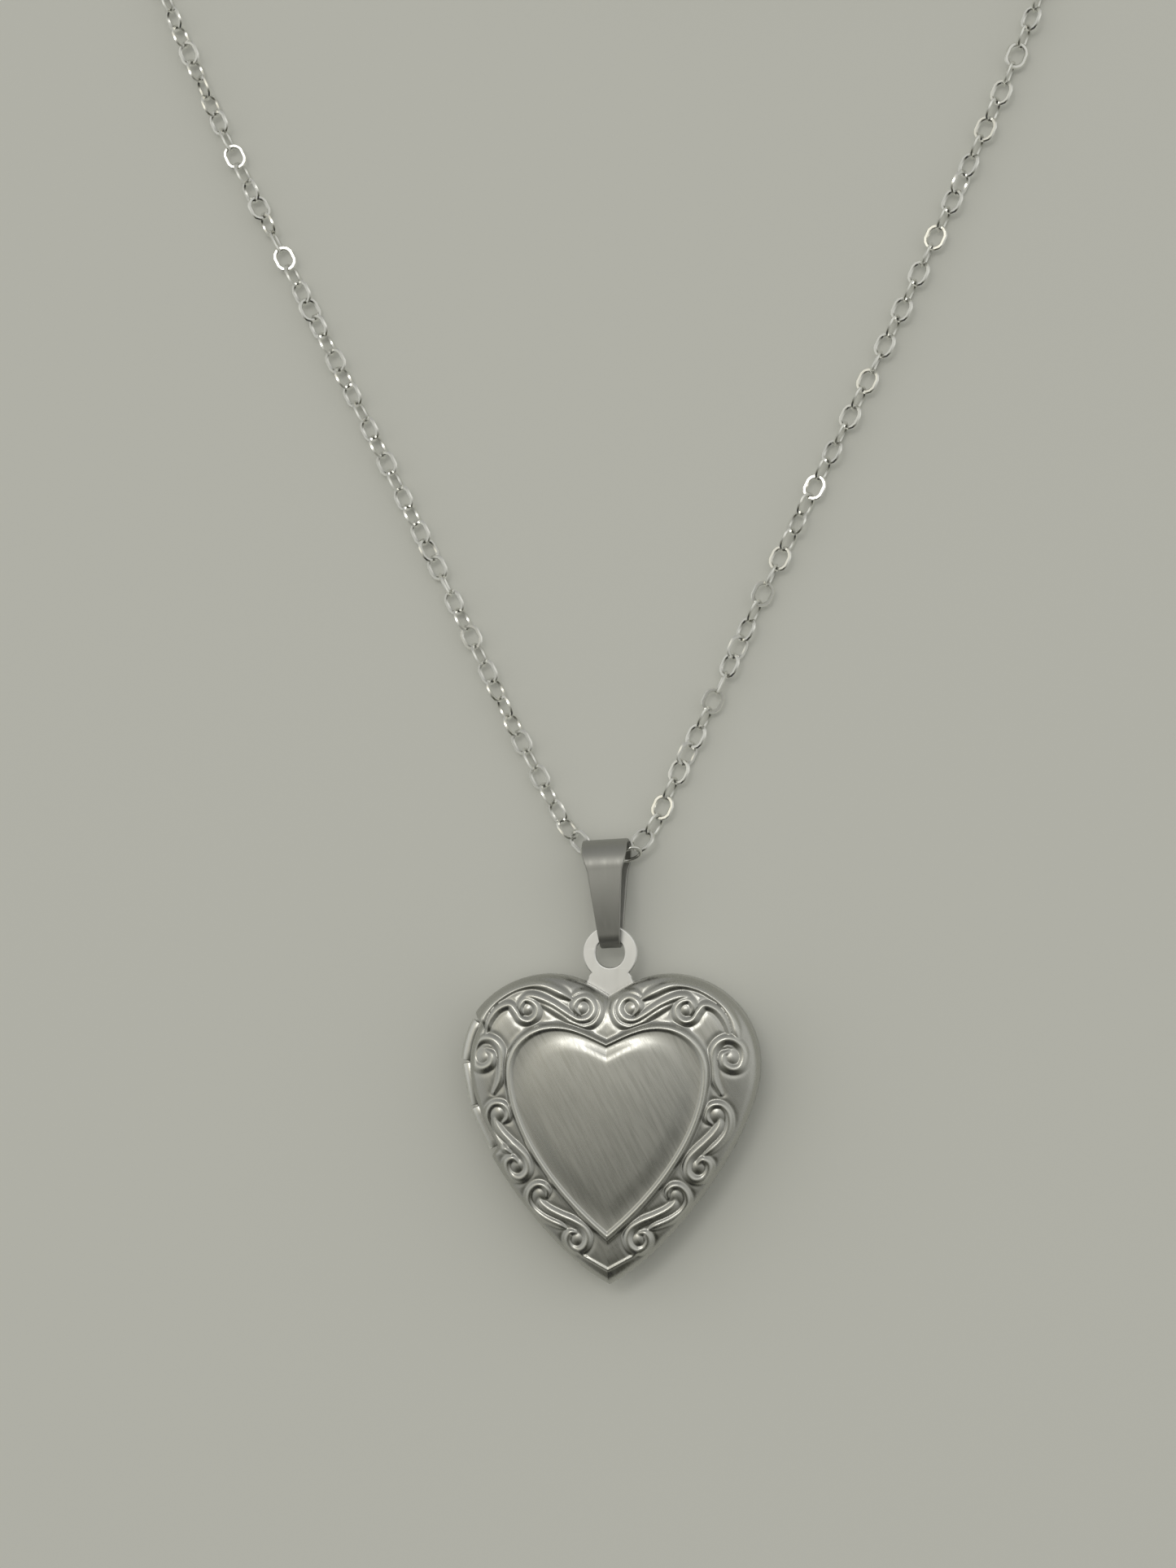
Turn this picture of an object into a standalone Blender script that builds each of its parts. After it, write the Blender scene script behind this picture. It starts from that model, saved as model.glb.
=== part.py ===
"""Heart locket with a scrolled border, on a fine cable chain: its working solids.

Metres, +Z up. The locket lies on its back: X runs across the heart, Y from its point
to its bail, and Z through its thickness, with the flat of the rear cover on Z = 0.
"""

import math

import bmesh
import bpy
from mathutils import Matrix, Vector

MM = 0.001

# Driving dimensions, in millimetres.
HALF_WIDTH = 14.18
LOBE_TOP_Y = 8.17
NOTCH_Y = 6.10
POINT_Y = -20.84
PARTING_Z = 3.5
SHEET = 0.45
FIT_GAP = 0.05
STEPS_PER_PIECE = (5, 9, 14)

# The heart edge and the raised inner heart, each as three Bezier stretches of its right half:
# notch, lobe top, widest place and point, every one with its handles.
HEART_EDGE = (
    ((0.0, NOTCH_Y), (1.6, 7.1), (3.2, LOBE_TOP_Y), (5.75, LOBE_TOP_Y)),
    ((5.75, LOBE_TOP_Y), (9.53, LOBE_TOP_Y), (HALF_WIDTH, 5.18), (HALF_WIDTH, -0.4)),
    ((HALF_WIDTH, -0.4), (HALF_WIDTH, -6.62), (5.65, -18.15), (0.0, POINT_Y)),
)
INNER_HEART = (
    ((0.0, 1.87), (1.5, 2.55), (3.1, 3.5), (5.0, 3.5)),
    ((5.0, 3.5), (7.5, 3.5), (9.5, 1.7), (9.5, -0.8)),
    ((9.5, -0.8), (9.5, -6.6), (4.79, -12.6), (0.0, -16.6)),
)

PANEL_MIDDLE = (0.0, -4.5)

# Section of a pressed cover. The border is given as distances in from the edge, and the panel as
# shares of the inner heart, each with its height off the parting plane.
BORDER_OUTSIDE = ((2.6, 2.64), (0.95, 2.30), (0.28, 1.75), (0.0, 1.0), (0.0, FIT_GAP))
BORDER_INSIDE = ((SHEET, FIT_GAP), (SHEET, 1.0), (0.75, 1.55), (1.3, 1.86), (2.7, 2.22))
DOMED_PANEL = ((0.12, 3.48), (0.35, 3.42), (0.60, 3.24), (0.80, 3.02), (0.94, 2.84),
               (0.97, 3.16), (1.0, 2.80))
FLAT_PANEL = ((0.95, PARTING_Z), (1.0, 2.80))
PANEL_INSIDE = (0.99, 2.45)

# Hinge: three knuckles along the left edge, on one pin.
KNUCKLE_RADIUS = 0.75
PIN_RADIUS = 0.3
PIN_REACH = 0.7
HINGE_TOP_Y = 4.0
MIDDLE_TOP_Y = -0.12
MIDDLE_BOTTOM_Y = -4.4
HINGE_BOTTOM_Y = -8.4
KNUCKLE_GAP = 0.15
UPPER_BEND_YS = (1.4, 2.7, HINGE_TOP_Y)
LOWER_BEND_YS = (-5.8, -7.1, HINGE_BOTTOM_Y)
HINGE_RELIEF = 1.0
RELIEF_RAMP = 0.7
RELIEF_REACH = 0.3
END_ROOM = 0.1

# Tab of the rear frame, and the folded bail through its hole.
TAB_HOLE_Y = 10.09
TAB_HOLE_RADIUS = 1.38
TAB_RADIUS = 2.57
TAB_EYE_START = math.asin(-0.72)
TAB_NECK = ((-2.03, 8.0), (-2.28, 7.4), (-2.28, 5.2))
TAB_Z = (2.62, 3.42)
BAIL_PIVOT = (0.0, 12.07, 3.02)
BAIL_LENGTH = 6.29
BAIL_DROP = 0.47
BAIL_TURN = math.radians(3.0)
BAIL_SHEET = 0.32
BAIL_FOOT_RADIUS = 1.36
BAIL_HEAD_RADIUS = 2.34
BAIL_FOOT_WIDTH = 1.9
BAIL_KNEE_WIDTH = 3.3
BAIL_HEAD_WIDTH = 4.3
BAIL_KNEE = 0.6
BAIL_FLARE = 1.25

# Photo frames, card inserts and their clear films, as heights from the parting plane.
FRAME_INSET = 0.52
FRAME_DEPTH = (0.08, 1.08)
WELL_INSET = 3.0
WELL_DEPTH = 0.83
INSERT_INSET = 3.06
RIM_WIDTH = 0.7
RIM_DEPTH = (0.12, 0.38)
FILM_DEPTH = (0.43, 0.55)
CARD_DEPTH = (0.60, 0.78)

# Chain of oval links.
CHAIN_RADIUS = 1.05
LINK_LENGTH = 2.6
LINK_WIDTH = 2.12
LINK_WIRE = 0.18
TABLE_Z = 1.06
BAIL_LINKS = (
    ((-1.72, 19.40, 2.10), -20.0, 55.0),
    ((0.0, 18.96, 1.85), 0.0, -35.0),
    ((1.74, 19.40, 2.14), 20.0, 55.0),
)
LEFT_ROUTE = (
    (-3.40, 20.55, 1.45), (-4.22, 21.80, 1.16), (-5.45, 23.92, TABLE_Z), (-8.00, 28.76, TABLE_Z),
    (-13.87, 40.90, TABLE_Z), (-21.37, 56.31, TABLE_Z), (-29.08, 71.85, TABLE_Z),
    (-36.97, 87.93, TABLE_Z), (-40.63, 96.11, TABLE_Z), (-43.45, 102.87, TABLE_Z),
    (-45.20, 108.40, TABLE_Z), (-44.30, 112.90, TABLE_Z), (-40.40, 115.30, TABLE_Z),
    (-33.60, 114.90, TABLE_Z), (-22.60, 111.40, TABLE_Z), (-10.20, 108.20, TABLE_Z),
    (2.00, 106.10, TABLE_Z), (12.00, 105.15, TABLE_Z), (20.20, 104.95, TABLE_Z),
)
RIGHT_ROUTE = (
    (3.30, 20.75, 1.45), (4.00, 22.10, 1.16), (4.95, 24.28, TABLE_Z), (9.96, 34.58, TABLE_Z),
    (13.87, 42.84, TABLE_Z), (19.32, 53.94, TABLE_Z), (23.97, 63.10, TABLE_Z),
    (30.94, 77.56, TABLE_Z), (37.90, 92.73, TABLE_Z), (40.59, 99.56, TABLE_Z),
    (42.40, 105.60, TABLE_Z),
)
LEFT_TUBE_POINTS = 44
RIGHT_TUBE_POINTS = 28

# The stored length: two strands wound side by side, with the clasp lying in the middle.
COIL_CENTRE = (30.4, 118.6)
COIL_RADII = (9.2, 16.05)
COIL_HEIGHT = 2.1
COIL_BEVEL = 0.35
COIL_FLOOR_GAP = 0.01
COIL_END_RADIUS = 10.27
COIL_END_TURN = math.radians(7.0)
TAIL_BEND = 4.6
TAIL_TURNS = (math.radians(77.0), math.radians(99.0))

# Trigger clasp, drawn with its eye at -X and its hook at +X, then turned into its place.
CLASP_TURN = math.radians(230.0)
CLASP_Z = 1.30
CLASP_HALF_THICK = 0.95
CLASP_EYE_X = -3.2
CLASP_EYE_RADII = (0.55, 1.0)
CLASP_EYE_HALF_THICK = 0.3
CLASP_BLOCK = ((-2.5, -1.35), (0.7, -1.35), (0.7, 1.35), (-2.1, 1.35), (-2.5, 0.9))
CLASP_HOOK = ((0.2, -0.95), (1.5, -1.5), (2.8, -1.35), (3.7, -0.6), (4.0, 0.3), (3.65, 1.15),
              (3.0, 1.5))
CLASP_HOOK_RADIUS = 0.45
LEVER_OUTLINE = ((-1.35, 0.15), (-0.8, 0.05), (-0.2, 0.3), (0.5, 0.75), (1.3, 1.05),
                 (2.3, 1.2), (2.4, 1.55), (2.2, 1.85), (1.4, 1.7), (0.4, 1.5), (0.15, 1.95),
                 (-0.3, 1.95), (-0.6, 1.25), (-1.35, 1.1))
LEVER_HALF_THICK = 0.4
LEVER_PIN = (-0.8, 0.65)
LEVER_PIN_RADIUS = 0.22
LEVER_PIN_HALF = 0.93
LEVER_SLOT = ((-1.7, -0.1), (0.9, -0.1), (0.9, 2.2), (-1.7, 2.2))
CUTTER_HALF = 1.5
SPRING_X = (-2.25, -1.66)
SPRING_Y = LEVER_PIN[1] - 0.1
SPRING_COIL_RADIUS = 0.27
SPRING_WIRE = 0.07
SPRING_TURNS = 3
JUMP_RINGS = (("clasp_ring", -4.47, 58.0), ("end_ring", 4.47, -52.0))
JUMP_RING_SIZE = 3.0
JUMP_RING_WIRE = 0.25

STEEL = ("stainless_steel", (0.62, 0.62, 0.60), 0.28, 1.0)
SATIN = ("satin_steel", (0.55, 0.55, 0.53), 0.38, 1.0)
CARD = ("blank_card", (0.86, 0.84, 0.79), 0.85, 0.0)
FILM = ("clear_film", (0.85, 0.88, 0.90), 0.08, 0.0)


def clear_scene():
    for old in list(bpy.data.objects):
        bpy.data.objects.remove(old, do_unlink=True)


def finish_material(name, colour, roughness, metallic):
    material = bpy.data.materials.get(name) or bpy.data.materials.new(name)
    material.use_nodes = True
    shader = material.node_tree.nodes["Principled BSDF"]
    shader.inputs["Base Color"].default_value = (*colour, 1.0)
    shader.inputs["Roughness"].default_value = roughness
    shader.inputs["Metallic"].default_value = metallic
    return material


def add_object(name, mesh, finish, origin=(0.0, 0.0, 0.0), smooth=35.0):
    """Link a mesh given in world millimetres, with its own origin at the given place."""
    place = Vector(origin) * MM
    mesh.transform(Matrix.Translation(-place) @ Matrix.Scale(MM, 4))
    mesh.materials.append(finish_material(*finish))
    mesh.shade_smooth()
    mesh.set_sharp_from_angle(angle=math.radians(smooth))
    piece = bpy.data.objects.new(name, mesh)
    piece.location = place
    bpy.context.scene.collection.objects.link(piece)
    return piece


def mesh_from(bm, name):
    bmesh.ops.recalc_face_normals(bm, faces=bm.faces)
    mesh = bpy.data.meshes.new(name)
    bm.to_mesh(mesh)
    bm.free()
    return mesh


def stacked_mesh(name, rings, close_start=True, close_end=True, loop=False):
    """Skin a stack of rings that all have the same number of points."""
    bm = bmesh.new()
    rows = [[bm.verts.new(point) for point in ring] for ring in rings]
    pairs = list(zip(rows, rows[1:]))
    if loop:
        pairs.append((rows[-1], rows[0]))
    for lower, upper in pairs:
        count = len(lower)
        for i in range(count):
            j = (i + 1) % count
            bm.faces.new((lower[i], lower[j], upper[j], upper[i]))
    if close_start and not loop:
        bm.faces.new(rows[0])
    if close_end and not loop:
        bm.faces.new(rows[-1])
    return mesh_from(bm, name)


def bezier(handles, t):
    a, b, c, d = (Vector(point) for point in handles)
    s = 1.0 - t
    return a * s ** 3 + b * (3 * s * s * t) + c * (3 * s * t * t) + d * t ** 3


def heart_loop(stretches, steps=STEPS_PER_PIECE):
    """The whole heart as 2D points: down its right half from the notch, back up its left."""
    right = []
    for handles, count in zip(stretches, steps):
        right.extend(bezier(handles, i / count) for i in range(count))
    point = Vector(stretches[-1][-1])
    left = [Vector((-p.x, p.y)) for p in reversed(right[1:])]
    return right + [point] + left


def hinge_relief(point):
    """How far the covers are set back from the heart edge, to make room for the knuckles."""
    if point.x > 0:
        return 0.0
    inside = min(HINGE_TOP_Y - point.y, point.y - HINGE_BOTTOM_Y) + RELIEF_REACH
    share = max(0.0, min(1.0, inside / RELIEF_RAMP + 0.5))
    return HINGE_RELIEF * share * share * (3 - 2 * share)


EDGE = heart_loop(HEART_EDGE)
INNER = heart_loop(INNER_HEART)


def border_ring(inset, height, side, relieved=True):
    """A ring round the heart, a distance in from its edge, at a height off the parting plane."""
    ring = []
    for outer, inner in zip(EDGE, INNER):
        span = (inner - outer).length
        relief = hinge_relief(outer) if relieved else 0.0
        run = relief + inset * (1.0 - relief / span)
        place = outer + (inner - outer).normalized() * run
        ring.append((place.x, place.y, PARTING_Z + side * height))
    return ring


def inner_ring(scale, height, side):
    """A ring of the inner heart, scaled about the middle of the panel."""
    middle = Vector(PANEL_MIDDLE)
    ring = []
    for inner in INNER:
        place = middle + (inner - middle) * scale
        ring.append((place.x, place.y, PARTING_Z + side * height))
    return ring


def cover_rings(side, panel):
    """Rings of a pressed cover, from the middle of its outside, over its edge, to the inside."""
    rings = [inner_ring(scale, height, side) for scale, height in panel]
    for inset, height in BORDER_OUTSIDE + BORDER_INSIDE:
        rings.append(border_ring(inset, height, side))
    rings.append(inner_ring(*PANEL_INSIDE, side))
    return rings


def combine(piece, other, operation):
    boolean = piece.modifiers.new(other.name, "BOOLEAN")
    boolean.operation = operation
    boolean.solver = "EXACT"
    boolean.object = other


def as_guide(piece):
    piece.hide_render = True
    piece.display_type = "WIRE"
    return piece


def tube_mesh(name, route, radius, sides=12, bore=0.0):
    """A round bar or, with a bore, a pipe, that follows a short route of points."""
    points = [Vector(p) for p in route]
    rings = []
    inner_rings = []
    for i, point in enumerate(points):
        along = (points[min(i + 1, len(points) - 1)] - points[max(i - 1, 0)]).normalized()
        across = along.cross(Vector((0.0, 0.0, 1.0))).normalized()
        up = across.cross(along)
        for target, size in ((rings, radius), (inner_rings, bore)):
            ring = []
            for k in range(sides):
                turn = 2 * math.pi * k / sides
                ring.append(point + across * (math.cos(turn) * size) + up * (math.sin(turn) * size))
            target.append(ring)
    if bore:
        return stacked_mesh(name, rings + inner_rings[::-1], loop=True)
    return stacked_mesh(name, rings)


def edge_place(height_y, inset):
    """A point a distance inside the left edge of the heart, at a given Y."""
    fine = heart_loop(HEART_EDGE, (20, 60, 90))
    left = [p for p in fine if p.x < -6.0]
    nearest = min(left, key=lambda p: abs(p.y - height_y))
    index = fine.index(nearest)
    along = (fine[index + 1] - fine[index - 1]).normalized()
    inward = Vector((along.y, -along.x))
    return Vector((nearest.x, nearest.y, 0.0)) + Vector((inward.x, inward.y, 0.0)) * inset


def knuckle_line(ys):
    places = [edge_place(y, KNUCKLE_RADIUS) for y in ys]
    return [Vector((p.x, p.y, PARTING_Z)) for p in places]


def hinge_axis():
    """The middle of the hinge pin, and its direction down the left edge of the heart."""
    top, bottom = knuckle_line((MIDDLE_TOP_Y, MIDDLE_BOTTOM_Y))
    return (top + bottom) / 2, (bottom - top).normalized()


def body_origin(side):
    """The front half turns about the hinge pin, and the rear half about the bail in its tab."""
    return hinge_axis()[0] if side > 0 else BAIL_PIVOT


def make_hinge():
    middle = knuckle_line((MIDDLE_TOP_Y, MIDDLE_BOTTOM_Y))
    axis = hinge_axis()[1]
    mesh = tube_mesh("front_knuckle", middle, KNUCKLE_RADIUS, bore=PIN_RADIUS + FIT_GAP)
    add_object("front_knuckle", mesh, SATIN, body_origin(1))

    start = middle[0] - axis * KNUCKLE_GAP
    end = middle[1] + axis * KNUCKLE_GAP
    upper = [start] + knuckle_line(UPPER_BEND_YS)
    lower = [end] + knuckle_line(LOWER_BEND_YS)
    bore_reach = axis * (PIN_REACH + END_ROOM)
    bore_mesh = tube_mesh("bore", (start - bore_reach, end + bore_reach), PIN_RADIUS + FIT_GAP)
    bore = as_guide(add_object("pin_bore", bore_mesh, STEEL))
    for name, route in (("rear_knuckle_upper", upper), ("rear_knuckle_lower", lower)):
        mesh = tube_mesh(name, route, KNUCKLE_RADIUS)
        combine(add_object(name, mesh, SATIN, body_origin(-1)), bore, "DIFFERENCE")
    pin_mesh = tube_mesh("pin", (start - axis * PIN_REACH, end + axis * PIN_REACH), PIN_RADIUS)
    add_object("hinge_pin", pin_mesh, STEEL, body_origin(-1))

    line = list(reversed(upper)) + lower
    line[0] = line[0] + (line[0] - line[1]).normalized() * END_ROOM
    line[-1] = line[-1] + (line[-1] - line[-2]).normalized() * END_ROOM
    room_mesh = tube_mesh("room", line, KNUCKLE_RADIUS + FIT_GAP)
    return as_guide(add_object("hinge_room", room_mesh, STEEL))


def arc_points(centre, radius, start, sweep, count):
    points = []
    for i in range(count + 1):
        turn = start + sweep * i / count
        points.append((centre[0] + radius * math.cos(turn), centre[1] + radius * math.sin(turn)))
    return points


def disc_points(centre, radius, sides=16):
    return arc_points(centre, radius, 0.0, 2 * math.pi, sides)[:-1]


def plate_mesh(name, outline, low, high):
    rings = [[(x, y, z) for x, y in outline] for z in (low, high)]
    return stacked_mesh(name, rings)


def tab_outline(grow=0.0):
    """The plate that carries the bail: a round eye on a neck that runs under the front cover."""
    sweep = math.pi - 2 * TAB_EYE_START
    eye = arc_points((0.0, TAB_HOLE_Y), TAB_RADIUS + grow, TAB_EYE_START, sweep, 20)
    left = [(x - grow, y) for x, y in TAB_NECK]
    right = [(-x, y) for x, y in reversed(left)]
    return eye + left + right


def make_covers(hinge_room):
    slot_mesh = plate_mesh("slot", tab_outline(FIT_GAP), TAB_Z[0] - FIT_GAP, TAB_Z[1] + SHEET)
    slot = as_guide(add_object("tab_slot", slot_mesh, STEEL))
    for name, side, panel in (("front_cover", 1, DOMED_PANEL), ("rear_cover", -1, FLAT_PANEL)):
        mesh = stacked_mesh(name, cover_rings(side, panel))
        cover = add_object(name, mesh, STEEL, body_origin(side))
        combine(cover, hinge_room, "DIFFERENCE")
        if side < 0:
            combine(cover, slot, "DIFFERENCE")


def frame_mesh(name, side):
    low, high = FRAME_DEPTH
    well = [border_ring(WELL_INSET, height, side, False) for height in (WELL_DEPTH, low)]
    edge = [border_ring(FRAME_INSET, height, side) for height in (low, high)]
    return stacked_mesh(name, well + edge)


def make_frames(hinge_room):
    tab = as_guide(add_object("tab_plate", plate_mesh("tab", tab_outline(), *TAB_Z), SATIN))
    hole_ring = disc_points((0.0, TAB_HOLE_Y), TAB_HOLE_RADIUS, 28)
    hole_mesh = plate_mesh("hole", hole_ring, TAB_Z[0] - END_ROOM, TAB_Z[1] + END_ROOM)
    hole = as_guide(add_object("tab_hole", hole_mesh, SATIN))
    for name, side in (("front_frame", 1), ("rear_frame", -1)):
        frame = add_object(name, frame_mesh(name, side), SATIN, body_origin(side))
        combine(frame, hinge_room, "DIFFERENCE")
        if side < 0:
            combine(frame, tab, "UNION")
            combine(frame, hole, "DIFFERENCE")


def sheet_mesh(name, side, inset, depth):
    return stacked_mesh(name, [border_ring(inset, h, side, False) for h in depth])


def make_inserts():
    for face, side in (("front", 1), ("rear", -1)):
        origin = body_origin(side)
        outer = INSERT_INSET
        inner = INSERT_INSET + RIM_WIDTH
        low, high = RIM_DEPTH
        corners = ((outer, low), (outer, high), (inner, high), (inner, low))
        rings = [border_ring(inset, height, side, False) for inset, height in corners]
        rim_mesh = stacked_mesh("rim", rings, loop=True)
        add_object(face + "_photo_rim", rim_mesh, SATIN, origin)
        add_object(face + "_film", sheet_mesh("film", side, outer, FILM_DEPTH), FILM, origin)
        add_object(face + "_photo", sheet_mesh("card", side, outer, CARD_DEPTH), CARD, origin)


def bail_width(reach):
    """Width of the strip at a distance up from the tab: a long taper that flares at the top."""
    knee = BAIL_LENGTH - BAIL_KNEE
    if reach < knee:
        share = (reach + BAIL_FOOT_RADIUS) / (knee + BAIL_FOOT_RADIUS)
        return BAIL_FOOT_WIDTH + (BAIL_KNEE_WIDTH - BAIL_FOOT_WIDTH) * share
    share = min(1.0, BAIL_FLARE * (reach - knee) / (BAIL_HEAD_RADIUS + BAIL_KNEE))
    return BAIL_KNEE_WIDTH + (BAIL_HEAD_WIDTH - BAIL_KNEE_WIDTH) * math.sin(share * math.pi / 2)


def bail_frame():
    """From the bail's own axes, with X across and Y along it, to the row's."""
    dip = -math.asin(BAIL_DROP / BAIL_LENGTH)
    turn = Matrix.Rotation(BAIL_TURN, 4, "Z") @ Matrix.Rotation(dip, 4, "X")
    return Matrix.Translation(Vector(BAIL_PIVOT)) @ turn


def make_bail():
    lean = math.asin((BAIL_HEAD_RADIUS - BAIL_FOOT_RADIUS) / BAIL_LENGTH)
    head_sweep = math.pi + 2 * lean
    foot_sweep = math.pi - 2 * lean
    rings = []
    stations = []
    for i in range(15):
        stations.append((BAIL_LENGTH, BAIL_HEAD_RADIUS, -head_sweep / 2 + head_sweep * i / 14))
    for i in range(9):
        turn = math.pi - foot_sweep / 2 + foot_sweep * i / 8
        stations.append((0.0, BAIL_FOOT_RADIUS, turn))
    placed = bail_frame()
    for centre, radius, turn in stations:
        ring = []
        reach = centre + radius * math.cos(turn)
        half = bail_width(reach) / 2
        for side, skin in ((-1, -0.5), (1, -0.5), (1, 0.5), (-1, 0.5)):
            size = radius + skin * BAIL_SHEET
            local = (side * half, centre + size * math.cos(turn), size * math.sin(turn))
            ring.append(placed @ Vector(local))
        rings.append(ring)
    head = placed @ Vector((0.0, BAIL_LENGTH, 0.0))
    add_object("bail", stacked_mesh("bail", rings, loop=True), SATIN, head)


def oval_link_mesh(name, centre, heading, roll, length=LINK_LENGTH, width=LINK_WIDTH,
                   wire=LINK_WIRE, steps=16, sides=6):
    """One oval link: its long axis at a heading on the table, its plane rolled about it."""
    turn = Matrix.Rotation(math.radians(heading), 4, "Z")
    placed = Matrix.Translation(Vector(centre)) @ turn @ Matrix.Rotation(math.radians(roll), 4, "X")
    straight = (length - width) / 2
    bend = width / 2 - wire
    rings = []
    for i in range(steps):
        angle = 2 * math.pi * (i + 0.5) / steps
        out = Vector((math.cos(angle), math.sin(angle), 0.0))
        spine = out * bend + Vector((math.copysign(straight, out.x), 0.0, 0.0))
        ring = []
        for k in range(sides):
            around = 2 * math.pi * k / sides
            offset = out * (wire * math.cos(around)) + Vector((0, 0, wire * math.sin(around)))
            ring.append(placed @ (spine + offset))
        rings.append(ring)
    return stacked_mesh(name, rings, loop=True)


def smooth_route(points, count):
    """Even steps along a smooth curve through hand-placed points (Catmull-Rom, chord spaced)."""
    knots = [Vector(p) for p in points]
    knots = [knots[0] * 2 - knots[1]] + knots + [knots[-1] * 2 - knots[-2]]
    fine = []
    for i in range(1, len(knots) - 2):
        p0, p1, p2, p3 = knots[i - 1:i + 3]
        chord = (p2 - p1).length
        slope_in = ((p1 - p0) / (p1 - p0).length + (p2 - p1) / chord) / 2 * chord
        slope_out = ((p2 - p1) / chord + (p3 - p2) / (p3 - p2).length) / 2 * chord
        for k in range(16):
            t = k / 16
            fine.append(p1 * (2 * t ** 3 - 3 * t ** 2 + 1) + slope_in * (t ** 3 - 2 * t ** 2 + t)
                        + p2 * (3 * t ** 2 - 2 * t ** 3) + slope_out * (t ** 3 - t ** 2))
    fine.append(knots[-2])
    marks = [0.0]
    for a, b in zip(fine, fine[1:]):
        marks.append(marks[-1] + (b - a).length)
    even = []
    step = 0
    for n in range(count):
        target = marks[-1] * n / (count - 1)
        while step < len(fine) - 2 and marks[step + 1] < target:
            step += 1
        share = (target - marks[step]) / (marks[step + 1] - marks[step])
        even.append(fine[step].lerp(fine[step + 1], share))
    return even


def cord_tube(name, points):
    curve = bpy.data.curves.new(name, "CURVE")
    curve.dimensions = "3D"
    curve.bevel_depth = CHAIN_RADIUS * MM
    curve.bevel_resolution = 2
    curve.use_fill_caps = True
    spline = curve.splines.new("POLY")
    spline.points.add(len(points) - 1)
    for knot, point in zip(spline.points, points):
        knot.co = (*(Vector(point) * MM), 1.0)
    curve.materials.append(finish_material(*STEEL))
    tube = bpy.data.objects.new(name, curve)
    bpy.context.scene.collection.objects.link(tube)


def coil_place(radius, turn):
    return Vector((COIL_CENTRE[0] + radius * math.cos(turn),
                   COIL_CENTRE[1] + radius * math.sin(turn), TABLE_Z))


def tail_points(side_turn):
    """The end of a strand: it leaves the coil and bends inwards to the clasp."""
    hub = coil_place(COIL_END_RADIUS - TAIL_BEND, COIL_END_TURN + side_turn)
    points = []
    for i in range(4):
        bend = TAIL_TURNS[0] + (TAIL_TURNS[1] - TAIL_TURNS[0]) * i / 3
        turn = COIL_END_TURN + side_turn + bend
        points.append(hub + Vector((math.cos(turn), math.sin(turn), 0.0)) * TAIL_BEND)
    return points


def make_chain():
    for number, (centre, heading, roll) in enumerate(BAIL_LINKS, start=1):
        name = f"bail_link_{number}"
        add_object(name, oval_link_mesh(name, centre, heading, roll), STEEL)
    cord_tube("chain_left", smooth_route(LEFT_ROUTE, LEFT_TUBE_POINTS))
    cord_tube("chain_right", smooth_route(RIGHT_ROUTE, RIGHT_TUBE_POINTS))
    inner, outer = COIL_RADII
    low = COIL_FLOOR_GAP
    high = COIL_HEIGHT
    bevel = COIL_BEVEL
    section = ((outer, low + bevel), (outer, high - bevel), (outer - bevel, high),
               (inner + bevel, high), (inner, high - bevel), (inner, low + bevel),
               (inner + bevel, low), (outer - bevel, low))
    rings = []
    for i in range(40):
        turn = 2 * math.pi * i / 40
        rings.append([coil_place(r, turn) + Vector((0, 0, z - TABLE_Z)) for r, z in section])
    add_object("chain_coil", stacked_mesh("chain_coil", rings, loop=True), STEEL)
    cord_tube("chain_tail_right", tail_points(0.0))
    cord_tube("chain_tail_left", tail_points(math.pi))


def clasp_frame():
    place = Vector((*COIL_CENTRE, CLASP_Z))
    return Matrix.Translation(place) @ Matrix.Rotation(CLASP_TURN, 4, "Z")


def clasp_piece(name, mesh, finish, local_origin=(0.0, 0.0, 0.0)):
    placed = clasp_frame()
    mesh.transform(placed)
    return add_object(name, mesh, finish, placed @ Vector(local_origin))


def spring_mesh():
    """A few turns of fine wire along X, its ends closed."""
    route = []
    steps = SPRING_TURNS * 10
    for i in range(steps + 1):
        turn = 2 * math.pi * SPRING_TURNS * i / steps
        run = SPRING_X[1] - SPRING_X[0] - 2 * SPRING_WIRE
        along = SPRING_X[0] + SPRING_WIRE + run * i / steps
        across = Vector((0.0, math.cos(turn), math.sin(turn))) * SPRING_COIL_RADIUS
        route.append(Vector((along, SPRING_Y, 0.0)) + across)
    rings = []
    for i, point in enumerate(route):
        turn = 2 * math.pi * SPRING_TURNS * i / steps
        out = Vector((0.0, math.cos(turn), math.sin(turn)))
        side = Vector((1.0, 0.0, 0.0))
        ring = []
        for k in range(6):
            around = 2 * math.pi * k / 6
            ring.append(point + (out * math.cos(around) + side * math.sin(around)) * SPRING_WIRE)
        rings.append(ring)
    return stacked_mesh("clasp_spring", rings)


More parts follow.
